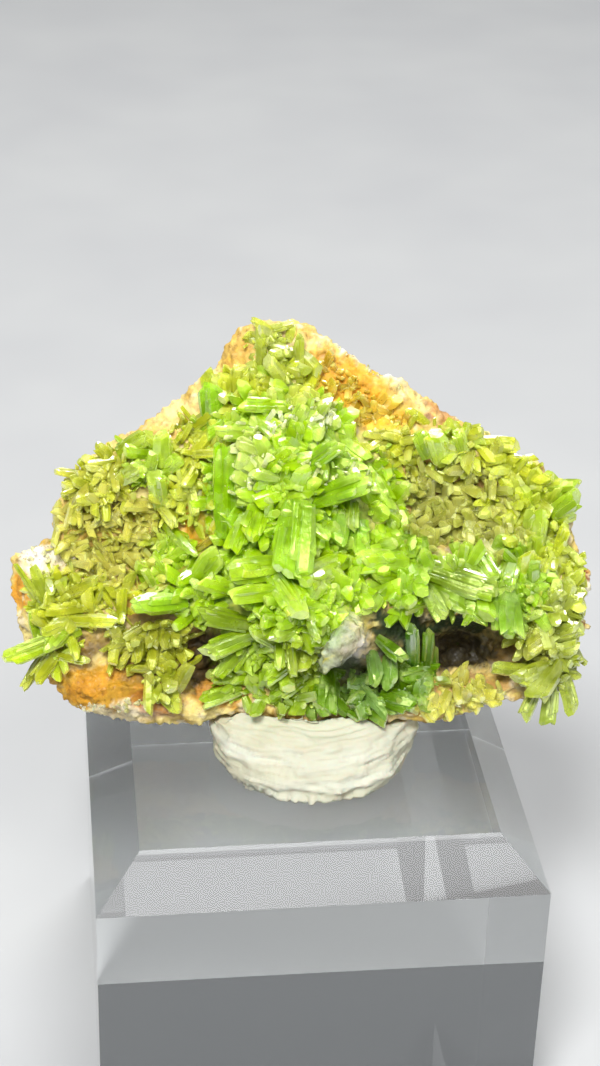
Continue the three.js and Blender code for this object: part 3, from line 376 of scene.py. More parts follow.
        (9.4, 26.2, 6.2, 26.4, 0.8, 0.55, 0.7), (8.6, 25.8, 6.9, 25.2, 0.8, 0.3, 0.8),
    ],
}, {
    "name": "right_rim_crystals", "slot": "yellow_pyromorphite", "tint": (222, 232, 56),
    "habits": ("barrel", "prism"), "brush": 3, "growth": (4.4, 1.6, 0.35),
    "patches": [(22.2, 18.4, 2.7, 4.3, 0), (22.6, 14.2, 2.8, 2.0, 0), (20.6, 21.4, 2.4, 2.2, 0),
                (25.2, 12.6, 0.9, 2.4, 0)],
    "crystals": [
        (21.8, 16.4, 22.0, 19.4, 1.4, 0.9, 0.8), (21.5, 15.6, 21.7, 17.2, 1.3, 0.8, 0.85),
        (23.5, 19.1, 25.3, 20.5, 1.2, 1.2, 0.85), (23.0, 21.7, 25.6, 21.9, 0.9, 0.72, 0.9),
        (21.2, 21.4, 22.2, 23.1, 1.0, 0.9, 0.8), (23.6, 16.0, 24.4, 18.2, 0.9, 0.6, 0.8),
        (20.8, 20.4, 19.9, 22.4, 0.8, 0.6, 0.9), (24.0, 16.0, 22.8, 14.8, 0.9, 0.45, 0.7),
        (19.8, 23.2, 20.6, 24.4, 0.7, 0.5, 0.9), (23.6, 18.6, 24.9, 18.9, 0.9, 0.6, 0.9),
        (19.4, 17.2, 19.2, 19.0, 1.0, 0.6, 0.8),
    ],
}, {
    "name": "right_basin_druse", "slot": "pale_pyromorphite", "tint": (206, 204, 96),
    "habits": ("prism", "barrel", "leaf"), "brush": 2, "growth": (4.4, 1.7, 0.31),
    "patches": [(14.4, 20.0, 5.8, 3.8, -8), (18.0, 17.0, 4.0, 2.4, -20), (11.0, 17.0, 2.0, 1.6, 0),
                (9.6, 22.4, 1.2, 2.2, 20)],
    "crystals": [
        (14.8, 18.8, 12.6, 19.4, 1.1, 0.65, 0.7), (13.2, 18.4, 11.3, 18.2, 1.0, 0.4, 0.7),
        (16.0, 19.4, 15.7, 17.4, 1.1, 0.7, 0.8), (16.2, 19.8, 17.8, 19.1, 0.9, 0.5, 0.9),
        (13.6, 20.6, 13.7, 22.2, 1.0, 0.55, 0.9), (17.6, 20.7, 17.6, 22.6, 1.2, 0.6, 0.8),
        (11.6, 20.6, 10.2, 21.6, 0.9, 0.5, 0.9), (15.6, 21.2, 15.8, 22.8, 0.9, 0.5, 0.9),
        (11.8, 19.6, 10.6, 19.0, 0.9, 0.45, 0.9), (12.3, 20.2, 12.2, 22.2, 0.9, 0.45, 0.9),
        (15.8, 18.8, 15.7, 16.4, 1.1, 0.8, 0.8), (12.3, 21.4, 12.4, 22.7, 0.9, 0.4, 0.9),
    ],
}, {
    "name": "right_ledge_crystals", "slot": "vivid_pyromorphite", "tint": (172, 218, 12),
    "habits": ("leaf", "barrel"), "brush": 6, "growth": (3.8, 1.7, 0.42),
    "patches": [(14.8, 12.9, 4.8, 2.3, -8), (18.6, 12.6, 2.4, 2.5, 0), (18.2, 13.8, 4.2, 2.2, 0),
                (10.2, 12.2, 2.6, 1.8, 0), (20.6, 11.2, 1.6, 1.8, 0), (10.6, 15.8, 1.2, 1.4, 0)],
    "crystals": [
        (12.0, 14.2, 17.9, 12.2, 1.6, 1.2, 0.5), (12.2, 12.8, 15.4, 11.0, 1.2, 1.0, 0.7),
        (11.6, 12.9, 13.5, 10.0, 1.8, 1.1, 0.7), (18.8, 12.4, 18.9, 8.2, 2.0, 1.4, 0.85),
        (14.4, 11.8, 17.2, 9.7, 1.4, 1.0, 0.8), (19.0, 14.2, 18.4, 12.6, 1.3, 1.0, 0.85),
        (16.4, 14.2, 17.4, 13.0, 1.3, 0.8, 0.85), (12.2, 14.0, 11.2, 15.8, 1.3, 0.7, 0.6),
        (16.6, 11.6, 15.0, 9.2, 1.2, 0.5, 0.8), (14.4, 14.0, 13.6, 15.6, 1.1, 0.5, 0.7),
        (16.4, 15.6, 17.6, 13.4, 1.4, 0.9, 0.8), (19.6, 15.2, 18.6, 12.9, 1.3, 1.0, 0.85),
        (11.2, 17.2, 11.6, 14.0, 1.3, 0.7, 0.6),
    ],
}, {
    "name": "lower_right_crystals", "slot": "yellow_pyromorphite", "tint": (190, 202, 66),
    "habits": ("prism", "prism", "barrel"), "brush": 5, "growth": (4.8, 1.7, 0.33),
    "patches": [(23.0, 6.2, 2.6, 4.7, 0), (23.3, 11.2, 1.9, 1.9, 0), (21.6, 9.0, 2.2, 1.6, 0),
                (24.6, 8.8, 1.2, 3.6, 0)],
    "crystals": [
        (22.8, 8.2, 20.6, 6.7, 1.3, 1.0, 0.8), (23.0, 8.0, 25.6, 8.9, 1.2, 1.1, 0.8),
        (23.4, 6.6, 25.4, 7.1, 1.1, 0.8, 0.8), (22.5, 5.4, 19.9, 4.3, 1.6, 1.0, 0.8),
        (23.6, 5.4, 21.6, 2.8, 1.4, 1.1, 0.8), (24.4, 4.2, 25.0, 1.3, 1.0, 0.85, 0.8),
        (22.0, 3.6, 20.6, 0.7, 0.8, 0.65, 0.9), (23.2, 3.4, 22.8, 0.3, 0.9, 0.8, 0.9),
        (20.9, 5.0, 17.8, 5.3, 1.0, 0.7, 0.6), (23.4, 11.0, 23.3, 12.8, 1.2, 0.85, 0.9),
        (24.2, 10.4, 25.3, 11.8, 0.8, 0.75, 0.8),
    ],
}]

# Rings of one crystal for each habit: share of the length and share of the radius.
HABITS = {
    "barrel": ((-0.12, 0.7), (0.25, 0.94), (0.6, 1.0), (0.86, 0.9), (1.0, 0.66)),
    "leaf": ((-0.12, 0.6), (0.35, 0.96), (0.66, 0.96), (0.88, 0.7), (1.0, 0.36)),
    "prism": ((-0.12, 0.84), (0.5, 1.0), (0.92, 0.96), (1.0, 0.8)),
    "shard": ((-0.15, 0.76), (0.5, 1.0), (0.86, 0.86), (1.0, 0.5)),
}
SIDES = 6
# How much the sides of one crystal differ, how much each corner of them wanders, how slanting its
# end is, and the share of its length at which that end starts.
UNEVEN_SIDES = (0.8, 1.15)
WANDERING_CORNERS = (0.9, 1.1)
SLANTING_END = 0.95
END_STARTS = 0.6
# A crystal's colour runs from ROOT_SHADE at its foot to TIP_SHADE at its tip: painted shade at the foot among
# the others, painted light at the free tip.
ROOT_SHADE = 0.74
TIP_SHADE = 1.12
FROSTED_TIP = 0.45
FROSTED_END = (0.05, 0.4)
# How far large crystals stand off the rock in millimetres. Fine growth leaves those of at least
# BARE_RADIUS bare, over BARE_SHARE of that radius.
STAND_OFF = 0.35
BARE_RADIUS = 0.85
BARE_SHARE = 0.62
LARGE_CRYSTALS = [row for cluster in CLUSTERS for row in cluster["crystals"] if row[5] >= BARE_RADIUS]
# The roughness and the glow of each kind of crystal.
CRYSTAL_LOOKS = {
    "vivid_pyromorphite": (0.2, 0.45),
    "yellow_pyromorphite": (0.24, 0.45),
    "pale_pyromorphite": (0.28, 0.45),
    # Crystals in the cavity, which carry painted shade.
    "dark_pyromorphite": (0.2, 0.4),
}

# A large crystal is one main one with thinner ones along it. Shares of its radius: the main one's,
# the thin ones', and how far these lie across it and out of it, at their roots and at their tips.
MAIN_WIDTH = 0.94
THIN_WIDTH = (0.24, 0.46)
THIN_ACROSS = 0.8
THIN_OUT = 0.72
THIN_ROOT_IN = (0.9, 0.85)
THIN_TIP_ACROSS = 1.04
# Shares of its length at which the thin ones start and end.
THIN_STARTS = (0.0, 0.5)
THIN_ENDS = (0.7, 1.04)
THIN_SHADE = (0.8, 1.2)

# Fine growth: how far it follows the rock's normal, chance and the face's own way out, and its sizes.
LEAN_NORMAL = 0.32
LEAN_CHANCE = 0.85
LEAN_OUT = 0.12
LEAN_SPREAD = (1, 1, 0.4)
LEAST_SIZE = 0.5
SIZE_SPREAD = 1.2
FEW_LARGE = 2.2
FINE_RAISED = (0.5, 1.0)
FINE_WIDTH = (0.7, 1.4)
FINE_THICKNESS = (0.4, 0.85)
# The share of its length that fine growth keeps where it would reach past the rock's edge.
SHARE_PAST_EDGE = 0.5
# How far one crystal's shade and its share of the tints around it may differ from the next one's.
SHADE_SPREAD = (0.7, 1.15)
TINT_SPREAD = (0.6, 1.0)

# Unevenness: steps of the noise and its height in millimetres.
ROCK_LUMPS = (0.55, 0.34)
ROCK_RIDGES = (1.25, 0.5)
ROCK_CHIPS = (0.9, 0.34)
ROCK_SUGAR = (3.4, 0.12)
BACK_BREAKS = (0.34, 1.5)
ROCK_SUNK = 0.05
# Where along w the back's larger breaks start, and over what depth they grow.
BREAKS_START = -2.2
BREAKS_DEPTH = 1.5
PUTTY_WRINKLE = ((0.16, 0.3, 1.5), 0.3)
PUTTY_CREASE = ((0.3, 0.3, 3.4), 0.5)
PUTTY_DENT = ((0.4, 0.4, 0.4), 0.3)
PUTTY_CRUMB = ((2.4, 2.4, 2.4), 0.08)
# How far the lip is pressed out, how uneven that is on the left, and over what width this fades.
LIP_REACH = 0.45
LIP_TEETH = 0.7
TEETH_FADE = 4
TEETH_BROAD = (1.7, 1.7, 1)
TEETH_FINE = (4, 4, 1)
# Putty that faces down more than this stays flat on the block.
UNDERSIDE = -0.6

BLOCK_ROUNDING = 0.16 * MM

CLUSTER_SEED = 100
SPRAY_SEED = 300
FINE_HABITS = ("prism", "shard", "prism")
# Fine grains on their own: name, slot, patches, per area, length, radius, height over the rock, colour.
SPRAYS = [
    ("amber_grains", "yellow_pyromorphite",
     [(4.4, 30.2, 4.2, 1.7, -35), (8.4, 28.0, 2.0, 1.0, -20)], 3.4, 1.0, 0.27, 0.0, AMBER),
    ("frost_grains", "pale_pyromorphite",
     [(-4.4, 24.2, 1.9, 2.8, 0), (3.4, 22.8, 3.0, 1.3, 0), (0.2, 27.8, 3.0, 1.2, 0)],
     5.0, 0.7, 0.16, 1.7, (255, 255, 214)),
    ("edge_quartz_grains", "stained_quartz",
     [(-22.4, 15.4, 2.4, 1.2, 0), (-17.0, 1.7, 5.4, 0.5, 5), (6.4, 32.7, 4.2, 0.4, -36),
      (26.0, 12.2, 0.4, 2.2, 0)], 4.5, 0.24, 0.18, 0.0, CREAM),
]

# A hair below the block, so that light in the block meets its underside and not the floor.
FLOOR = -0.1 * MM
FLOOR_HALF = 3.0

# Lamps: name, place in metres, size and power. All are aimed at one point.
LAMPS = [
    ("key", (-0.14, -0.34, 0.54), 0.16, 3.9),
    ("chamfer", (0.085, -0.466, 0.57), 0.26, 1.3),
    ("fill", (0.5, -0.3, 0.24), 0.4, 0.5),
    ("top", (0.05, 0.26, 0.54), 0.26, 2.0),
]
LAMP_AIM = (0, 0, 0.045)
SKY = (0.94, 0.97, 1.0, 1)
SKY_STRENGTH = 0.19


def mesh_object(name, points, faces):
    """A new object in the scene from points in metres and faces."""
    mesh = bpy.data.meshes.new(name)
    mesh.from_pydata(points, [], faces)
    mesh.update()
    made = bpy.data.objects.new(name, mesh)
    bpy.context.scene.collection.objects.link(made)
    return made


def to_world(points):
    """Face-frame points in millimetres as world points in metres."""
    turn = np.array(FACE.to_3x3())
    return np.asarray(points) @ turn.T + np.array(FACE.translation)


def to_face(points):
    """World points in metres as face-frame points in millimetres."""
    turn = np.array(FACE_BACK.to_3x3())
    return np.asarray(points) @ turn.T + np.array(FACE_BACK.translation)


def point_array(mesh, field="co"):
    """The places of the mesh's vertices, or their normals, as an array of rows of three."""
    flat = np.empty(len(mesh.vertices) * 3, np.float32)
    mesh.vertices.foreach_get(field, flat)
    return flat.reshape(-1, 3).astype(float)


def set_points(mesh, points):
    mesh.vertices.foreach_set("co", np.asarray(points, np.float32).ravel())
    mesh.update()


def set_tint(mesh, colours, domain="POINT"):
    """Stores a linear colour for each point, or face corner, in the attribute that materials read."""
    rows = np.ones((len(colours), 4), np.float32)
    rows[:, :3] = colours
    mesh.attributes.new("tint", "FLOAT_COLOR", domain).data.foreach_set("color", rows.ravel())


def set_grain(mesh, places):
    """Stores where each vertex lies in its own crystal, in millimetres, for the striations."""
    rows = np.asarray(places, np.float32)
    mesh.attributes.new("grain", "FLOAT_VECTOR", "POINT").data.foreach_set("vector", rows.ravel())


def shade(mesh):
    """Smooth along gentle curves and sharp along edges."""
    mesh.shade_smooth()
    mesh.set_sharp_from_angle(angle=SHARP_ANGLE)


def remeshed(node, name, voxel):
    """A copy of a CAD node in even small faces, ready to be shaped more finely."""
    copy = bpy.data.objects.new(name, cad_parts[node].data.copy())
    bpy.context.scene.collection.objects.link(copy)
    modifier = copy.modifiers.new("even faces", "REMESH")
    modifier.mode = "VOXEL"
    modifier.voxel_size = voxel
    evaluated = copy.evaluated_get(bpy.context.evaluated_depsgraph_get())
    mesh = bpy.data.meshes.new_from_object(evaluated)
    copy.modifiers.clear()
    copy.data = mesh
    return copy


def finish_piece(piece, slot, *nodes):
    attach(piece, "root")
    if nodes:
        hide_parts(*nodes)


def spot_weight(u, v, at, size, turn=0):
    """1 at the middle of a spot, falling smoothly to 0 past its half widths."""
    angle = math.radians(turn)
    along = ((u - at[0]) * math.cos(angle) + (v - at[1]) * math.sin(angle)) / size[0]
    across = ((v - at[1]) * math.cos(angle) - (u - at[0]) * math.sin(angle)) / size[1]
    reach = along * along + across * across
    return np.clip(SPOT_EDGE - reach, 0, 1)


class Nodes:
    """Short calls for building one material's nodes."""

    def __init__(self, name):
        self.material = bpy.data.materials.new(name)
        self.material.use_nodes = True
        self.tree = self.material.node_tree
        self.shader = self.tree.nodes["Principled BSDF"]

    def fill(self, node, values):
        """Links each socket given, or sets each plain value, to the node's input of that name or number."""
        for name, value in values.items():
            if isinstance(value, bpy.types.NodeSocket):
                self.tree.links.new(value, node.inputs[name])
            else:
                node.inputs[name].default_value = value

    def add(self, kind, values=None, **settings):
        node = self.tree.nodes.new(kind)
        for name, value in settings.items():
            setattr(node, name, value)
        self.fill(node, values or {})
        return node

    def finish(self, values):
        """Fills the shader's inputs and gives the material."""
        self.fill(self.shader, values)
        return self.material

    def attribute(self, name, output):
        return self.add("ShaderNodeAttribute", attribute_name=name).outputs[output]

    def places(self):
        return self.add("ShaderNodeTexCoord").outputs["Object"]

    def stretched(self, places, scale):
        return self.add("ShaderNodeMapping", {"Vector": places, "Scale": scale}).outputs["Vector"]

    def noise(self, places, scale, detail=3.0, rough=0.55):
        values = {"Vector": places, "Scale": scale, "Detail": detail, "Roughness": rough}
        return self.add("ShaderNodeTexNoise", values).outputs["Fac"]

    def cells(self, places, scale):
        return self.add("ShaderNodeTexVoronoi", {"Vector": places, "Scale": scale}).outputs["Distance"]

    def ramp(self, value, low, high, start=0.0, end=1.0):
        """value between low and high becomes start to end, clamped."""
        values = {"Value": value, "From Min": low, "From Max": high, "To Min": start, "To Max": end}
        return self.add("ShaderNodeMapRange", values).outputs["Result"]

    def mix(self, share, first, second, how="MIX"):
        """Two colours mixed, each given as a socket or as it looks."""
        values = {"Factor": share}
        for number, value in ((6, first), (7, second)):
            values[number] = value if isinstance(value, bpy.types.NodeSocket) else (*linear(value), 1)
        return self.add("ShaderNodeMix", values, data_type="RGBA", blend_type=how).outputs[2]

    def bump(self, height, distance, strength, below=None):
        values = {"Height": height, "Distance": distance, "Strength": strength}
        if below is not None:
            values["Normal"] = below
        return self.add("ShaderNodeBump", values).outputs["Normal"]


def crystal_material(name, roughness, glow):
    """Resinous, translucent crystal with striations along its length and frosted patches."""
    n = Nodes(name)
    tint = n.attribute("tint", "Color")
    grain = n.attribute("grain", "Vector")
    lines = n.noise(n.stretched(grain, (8, 0.35, 8)), 1.0, 3.0, 0.6)
    clouds = n.noise(n.places(), 620.0, 3.0)
    deeper = n.mix(0.6, tint, (190, 200, 60), "MULTIPLY")
    pale = n.mix(0.5, tint, (240, 250, 170))
    body = n.mix(n.ramp(clouds, 0.38, 0.56), deeper, tint)
    body = n.mix(n.ramp(lines, 0.58, 0.74, 0.0, 0.4), body, pale)
    body = n.mix(n.ramp(clouds, 0.6, 0.74, 0.0, 0.5), body, pale)
    wavy = n.bump(clouds, 0.25 * MM, 0.5)
    return n.finish({
        "Base Color": body,
        "Roughness": n.ramp(clouds, 0.35, 0.7, roughness - 0.1, roughness + 0.16),
        "IOR": 1.62,
        "Specular Tint": (0.86, 1.0, 0.4, 1),
        "Transmission Weight": 0.36,
        "Subsurface Weight": glow,
        "Subsurface Radius": (1.0, 0.9, 0.2),
        "Subsurface Scale": 0.6 * MM,
        "Normal": n.bump(lines, 0.05 * MM, 0.7, wavy),
    })


def rock_material():
    """Sugary quartz with iron stains and painted shade; their colour comes with each vertex."""
    n = Nodes("stained_quartz")
    places = n.places()
    tint = n.attribute("tint", "Color")
    fine = n.noise(places, 1500.0, 4.0, 0.65)
    sugar = n.cells(places, 2400.0)
    blotch = n.noise(places, 420.0, 3.0)
    body = n.mix(n.ramp(blotch, 0.42, 0.62, 0.0, 0.5), tint, (226, 208, 130), "MULTIPLY")
    body = n.mix(n.ramp(fine, 0.52, 0.7, 0.0, 0.7), body, (236, 224, 190), "OVERLAY")
    body = n.mix(n.ramp(fine, 0.3, 0.44, 0.55, 0.0), body, (124, 90, 30), "MULTIPLY")
    rough = n.bump(fine, 0.12 * MM, 0.9)
    return n.finish({
        "Base Color": body,
        "Roughness": n.ramp(sugar, 0.0, 0.6, 0.3, 0.75),
        "Subsurface Weight": 0.1,
        "Subsurface Radius": (0.9, 0.8, 0.6),
        "Subsurface Scale": 0.5 * MM,
        "Normal": n.bump(sugar, 0.09 * MM, 0.8, rough),
    })


def putty_material():
    """Matt putty with fine pressed wrinkles and a little dust."""
    n = Nodes("putty")
    places = n.places()
    grain = n.noise(places, 2600.0, 4.0, 0.6)
    press = n.noise(n.stretched(places, (120, 120, 900)), 1.0, 3.0)
    body = n.mix(n.ramp(press, 0.35, 0.65), (200, 197, 170), PUTTY)
    body = n.mix(n.ramp(grain, 0.66, 0.74, 0.0, 0.35), body, (170, 160, 130))
    soft = n.bump(press, 0.14 * MM, 0.6)
    return n.finish({
        "Base Color": body,
        "Roughness": 0.72,
        "Subsurface Weight": 0.2,
        "Subsurface Scale": 0.8 * MM,
        "Normal": n.bump(grain, 0.03 * MM, 0.6, soft),
    })


def acrylic_material():
    """Clear acrylic with fine scratches that catch the light."""
    n = Nodes("clear_acrylic")
    places = n.places()
    scratches = n.noise(n.stretched(places, (50, 50, 2400)), 1.0, 2.0, 0.7)
    crossed = n.noise(n.stretched(places, (2400, 50, 50)), 1.0, 2.0, 0.7)
    lines = n.mix(0.5, scratches, crossed, "LIGHTEN")
    return n.finish({
        "Base Color": (*linear((250, 252, 252)), 1),
        "Roughness": n.ramp(lines, 0.7, 0.8, 0.0, 0.2),
        "IOR": 1.49,
        "Transmission Weight": 1.0,
    })


def floor_material():
    n = Nodes("studio_floor")
    clouds = n.noise(n.places(), 30.0, 2.0)
    body = n.mix(n.ramp(clouds, 0.3, 0.7), (184, 185, 186), (190, 191, 191))
    return n.finish({"Base Color": body, "Roughness": 0.8})


def fine_height(place):
    """How far the broken quartz stands proud of its plain form at a place, in millimetres."""
    p = Vector(place)
    behind = min(1.0, max(0.0, (BREAKS_START - p.z) / BREAKS_DEPTH))
    breaks = (noise.voronoi(p * BACK_BREAKS[0])[0][0] - 0.45) * BACK_BREAKS[1] * behind
    lumps = noise.noise(p * ROCK_LUMPS[0]) * ROCK_LUMPS[1]
    ridges = abs(noise.noise(p * ROCK_RIDGES[0] + Vector((9, 4, 2)))) * ROCK_RIDGES[1]
    chips = noise.voronoi(p * ROCK_CHIPS[0])[0][0] * ROCK_CHIPS[1]
    sugar = noise.noise(p * ROCK_SUGAR[0]) * ROCK_SUGAR[1]
    return lumps + ridges - chips + sugar + breaks - ROCK_SUNK


def rock_colours(points, normals):
    """The stained colour of each rock vertex, with painted shade in its recesses, holes, gaps and under
    overhangs.
    """
    u, v, w = points.T
    rows = [Vector(p) for p in points]
    wander = np.array([noise.noise(p * 0.5) for p in rows])
    patchy = np.array([noise.noise(p * 1.3 + Vector((5, 5, 5))) for p in rows])
    speck = np.array([noise.noise(p * 3.1) for p in rows])
    broad = np.array([noise.noise(p * 0.16 + Vector((2, 7, 1))) for p in rows])
    cream, ochre, white = linear(QUARTZ_CREAM), linear(QUARTZ_OCHRE), linear(WHITE)
    share = np.clip(0.35 + 1.1 * wander + 0.6 * patchy, 0, 1)[:, None]
    colours = cream * (1 - share) + ochre * share
    share = np.clip(2.4 * patchy - 0.35, 0, 1)[:, None] * 0.6
    colours = colours * (1 - share) + white * share
    behind = (normals[:, 2] < 0.1) & (w < BACK_STARTS)
    share = np.clip(3.0 * broad + speck + 0.6 * patchy - 0.3, 0, 0.7)[:, None] * behind[:, None]
    colours = colours * (1 - share) + linear(RUST) * share
    ruffled_u = u + 1.1 * patchy + 0.6 * speck
    ruffled_v = v + 1.1 * wander - 0.6 * speck
    # Blends in each stain and each patch of painted shade.
    for _, at, size, turn, colour, strength in ROCK_STAINS_AND_SHADE:
        weight = spot_weight(ruffled_u, ruffled_v, at, size, turn) * strength
        weight = np.where(behind, 0, weight)[:, None]
        colours = colours * (1 - weight) + linear(colour) * weight
    return colours


def make_rock():
    rock = remeshed("matrix_rock", "stained_quartz_matrix", ROCK_VOXEL)
    mesh = rock.data
    normals = point_array(mesh, "normal") @ np.array(FACE_BACK.to_3x3().normalized()).T
    points = to_face(point_array(mesh))
    proud = np.array([fine_height(p) for p in points])
    points = points + normals * proud[:, None]
    set_tint(mesh, rock_colours(points, normals))
    set_points(mesh, to_world(points))
    mesh.materials.clear()
    mesh.materials.append(rock_material())
    mesh.shade_smooth()
    finish_piece(rock, "stained_quartz", "matrix_rock")
    faces = [tuple(face.vertices) for face in mesh.polygons]
    return BVHTree.FromPolygons([Vector(p) for p in points], faces)


def ground(rock, u, v):
    """The rock's front surface under a point of the face, and its normal."""
    place, normal, _, _ = rock.ray_cast(Vector((u, v, RAY_START)), Vector((0, 0, -1)))
    return place, normal


def directions(foot, tip):
    """A crystal's own directions: along it, across it in the face, and out through it."""
    axis = (tip - foot).normalized()
    across = axis.cross(Vector((0, 0, 1)))
    if across.length < 0.05:
        across = axis.cross(Vector((1, 0, 0)))
    across.normalize()
    return axis, across, across.cross(axis)


class Growth:
    """Crystals gathered as arrays in the face frame until they become one mesh."""

    def __init__(self, seed):
        self.random = random.Random(seed)
        self.points = []
        self.faces = []
        self.tints = []
        self.grains = []

    def crystal(self, foot, tip, radius, thickness, colour, habit, spin=0.0):
        """One six-sided crystal from foot to tip, with uneven sides and a slanting end."""
        pick = self.random
        axis, across, through = directions(foot, tip)
        length = (tip - foot).length
        start = len(self.points)
        rings = HABITS[habit]
        offset = pick.uniform(0, 60)
        uneven = [pick.uniform(*UNEVEN_SIDES) for _ in range(SIDES)]
        slant_x, slant_z = [pick.uniform(-SLANTING_END, SLANTING_END) for _ in range(2)]
        frosted = FROSTED_TIP * pick.random() ** 2
        ring_tints = []
        for share, wide in rings:
            reach = min(1.0, max(0.0, share))
            end = max(0.0, share - END_STARTS) / (1 - END_STARTS)
            pale = frosted * end
            # Painted shade at the foot, growing to painted light at the tip.
            shaded = colour * (ROOT_SHADE + (TIP_SHADE - ROOT_SHADE) * reach)
            ring_tints.append(shaded * (1 - pale) + linear(FROST) * pale)
            for side in range(SIDES):
                angle = 2 * math.pi * side / SIDES + spin
                out = radius * wide * uneven[side] * pick.uniform(*WANDERING_CORNERS)
                x = out * math.cos(angle)
                z = out * thickness * math.sin(angle)
                along = share * length + (slant_x * x + slant_z * z) * end
                self.points.append(foot + across * x + axis * along + through * z)
                self.grains.append((x + offset, along + offset, z))
        for ring in range(len(rings) - 1):
            for side in range(SIDES):
                a = start + ring * SIDES + side
                b = start + ring * SIDES + (side + 1) % SIDES
                self.faces.append((a, b, b + SIDES, a + SIDES))
                self.tints += [ring_tints[ring]] * 2 + [ring_tints[ring + 1]] * 2
        self.faces.append(tuple(reversed(range(start, start + SIDES))))
        self.tints += [ring_tints[0]] * SIDES
        top = start + (len(rings) - 1) * SIDES
        self.faces.append(tuple(range(top, top + SIDES)))
        broken = pick.uniform(*FROSTED_END)
        self.tints += [ring_tints[-1] * (1 - broken) + linear(FROST) * broken] * SIDES

    def sheaf(self, foot, tip, radius, thickness, colour, habits, brush):
        """A large crystal with thinner ones grown along it, which end unevenly like broken steps."""
        pick = self.random
        habit = pick.choice(habits)
        axis, across, through = directions(foot, tip)
        length = (tip - foot).length
        self.crystal(foot, tip, radius * MAIN_WIDTH, thickness, colour, habit, pick.uniform(0, 0.5))
        for _ in range(int(1 + brush * radius)):
            x = radius * pick.uniform(-THIN_ACROSS, THIN_ACROSS)
            z = radius * thickness * pick.uniform(0.0, THIN_OUT)
            root = across * x * THIN_ROOT_IN[0] + through * z * THIN_ROOT_IN[1]
            start = foot + root + axis * length * pick.uniform(*THIN_STARTS)
            end = foot + across * x * THIN_TIP_ACROSS + through * z + axis * length * pick.uniform(*THIN_ENDS)
            thin = radius * pick.uniform(*THIN_WIDTH)
            tint = colour * pick.uniform(*THIN_SHADE)
            self.crystal(start, end, thin, thickness, tint, "prism", pick.uniform(0, 1))

    def piece(self, name, material):
        world = to_world(np.array([tuple(p) for p in self.points]))
        made = mesh_object(name, world.tolist(), self.faces)
        set_tint(made.data, np.clip(np.array(self.tints), 0, 1), "CORNER")
        set_grain(made.data, self.grains)
        shade(made.data)
        made.data.materials.append(material)
        return made


def crystal_colour(u, v, base, pick):
    """The tint of a crystal at a place: its cluster's, changed by the tints near it, painted shade among
    them.
    """
    colour = linear(base) * pick.uniform(*SHADE_SPREAD)
    for _, at, size, tint, strength in CRYSTAL_TINTS:
        weight = float(spot_weight(u, v, at, size)) * strength * pick.uniform(*TINT_SPREAD)
        colour = colour * (1 - weight) + linear(tint) * weight
    return colour


def add_named_crystals(growth, rock, cluster):
    for foot_u, foot_v, tip_u, tip_v, lift, radius, thickness in cluster["crystals"]:
        foot, _ = ground(rock, foot_u, foot_v)
        if foot is None:
            continue
        under_tip, _ = ground(rock, tip_u, tip_v)
        tip_height = max(foot.z, under_tip.z if under_tip else foot.z) + lift
        tip = Vector((tip_u, tip_v, tip_height))
        foot.z += STAND_OFF
        middle = ((foot_u + tip_u) / 2, (foot_v + tip_v) / 2)
        colour = crystal_colour(*middle, cluster["tint"], growth.random)
        growth.sheaf(foot, tip, radius, thickness, colour, cluster["habits"], cluster["brush"])


def on_large_crystal(u, v):
    """Whether a place of the face lies on a large crystal."""
    place = Vector((u, v))
    for foot_u, foot_v, tip_u, tip_v, _, radius, _ in LARGE_CRYSTALS:
        foot, tip = Vector((foot_u, foot_v)), Vector((tip_u, tip_v))
        share = (place - foot).dot(tip - foot) / (tip - foot).length_squared
        nearest = foot + (tip - foot) * min(1.0, max(0.0, share))
        if (place - nearest).length < BARE_SHARE * radius:
            return True
    return False


def scatter(growth, rock, patch, per_area, length, radius, base, habits, raised=0.0):
    """Fine crystals over an oval patch, leaning every way, their feet raised off the rock."""
    pick = growth.random
    middle_u, middle_v, half_u, half_v, turn = patch
    angle = math.radians(turn)
    for _ in range(int(math.pi * half_u * half_v * per_area)):
        reach, way = math.sqrt(pick.random()), pick.uniform(0, 2 * math.pi)
        x, y = half_u * reach * math.cos(way), half_v * reach * math.sin(way)
        u = middle_u + x * math.cos(angle) - y * math.sin(angle)
        v = middle_v + x * math.sin(angle) + y * math.cos(angle)
        foot, normal = ground(rock, u, v)
        if foot is None or (not raised and on_large_crystal(u, v)):
            continue
        lean = Vector([pick.gauss(0, spread) for spread in LEAN_SPREAD])
        way_out = normal * LEAN_NORMAL + lean * LEAN_CHANCE + Vector((0, 0, LEAN_OUT))
        size = LEAST_SIZE + SIZE_SPREAD * pick.random() ** FEW_LARGE
        foot = foot + normal * raised * pick.uniform(*FINE_RAISED)
        tip = foot + way_out.normalized() * length * size
        if ground(rock, tip.x, tip.y)[0] is None:
            tip = foot.lerp(tip, SHARE_PAST_EDGE)
        colour = crystal_colour(u, v, base, pick)
        width = radius * size * pick.uniform(*FINE_WIDTH)
        thickness = pick.uniform(*FINE_THICKNESS)
        growth.crystal(foot, tip, width, thickness, colour, pick.choice(habits), pick.uniform(0, 1))


def make_clusters(rock):
    materials = {slot: crystal_material(slot, *look) for slot, look in CRYSTAL_LOOKS.items()}
    for index, cluster in enumerate(CLUSTERS):
        growth = Growth(CLUSTER_SEED + index)
        add_named_crystals(growth, rock, cluster)
        per_area, length, radius = cluster["growth"]
        for patch in cluster["patches"]:
            scatter(growth, rock, patch, per_area, length, radius, cluster["tint"], FINE_HABITS)
        name = cluster["name"].replace("_crystals", "") + "_growth"
        made = growth.piece(name, materials[cluster["slot"]])
        finish_piece(made, cluster["slot"], cluster["name"])


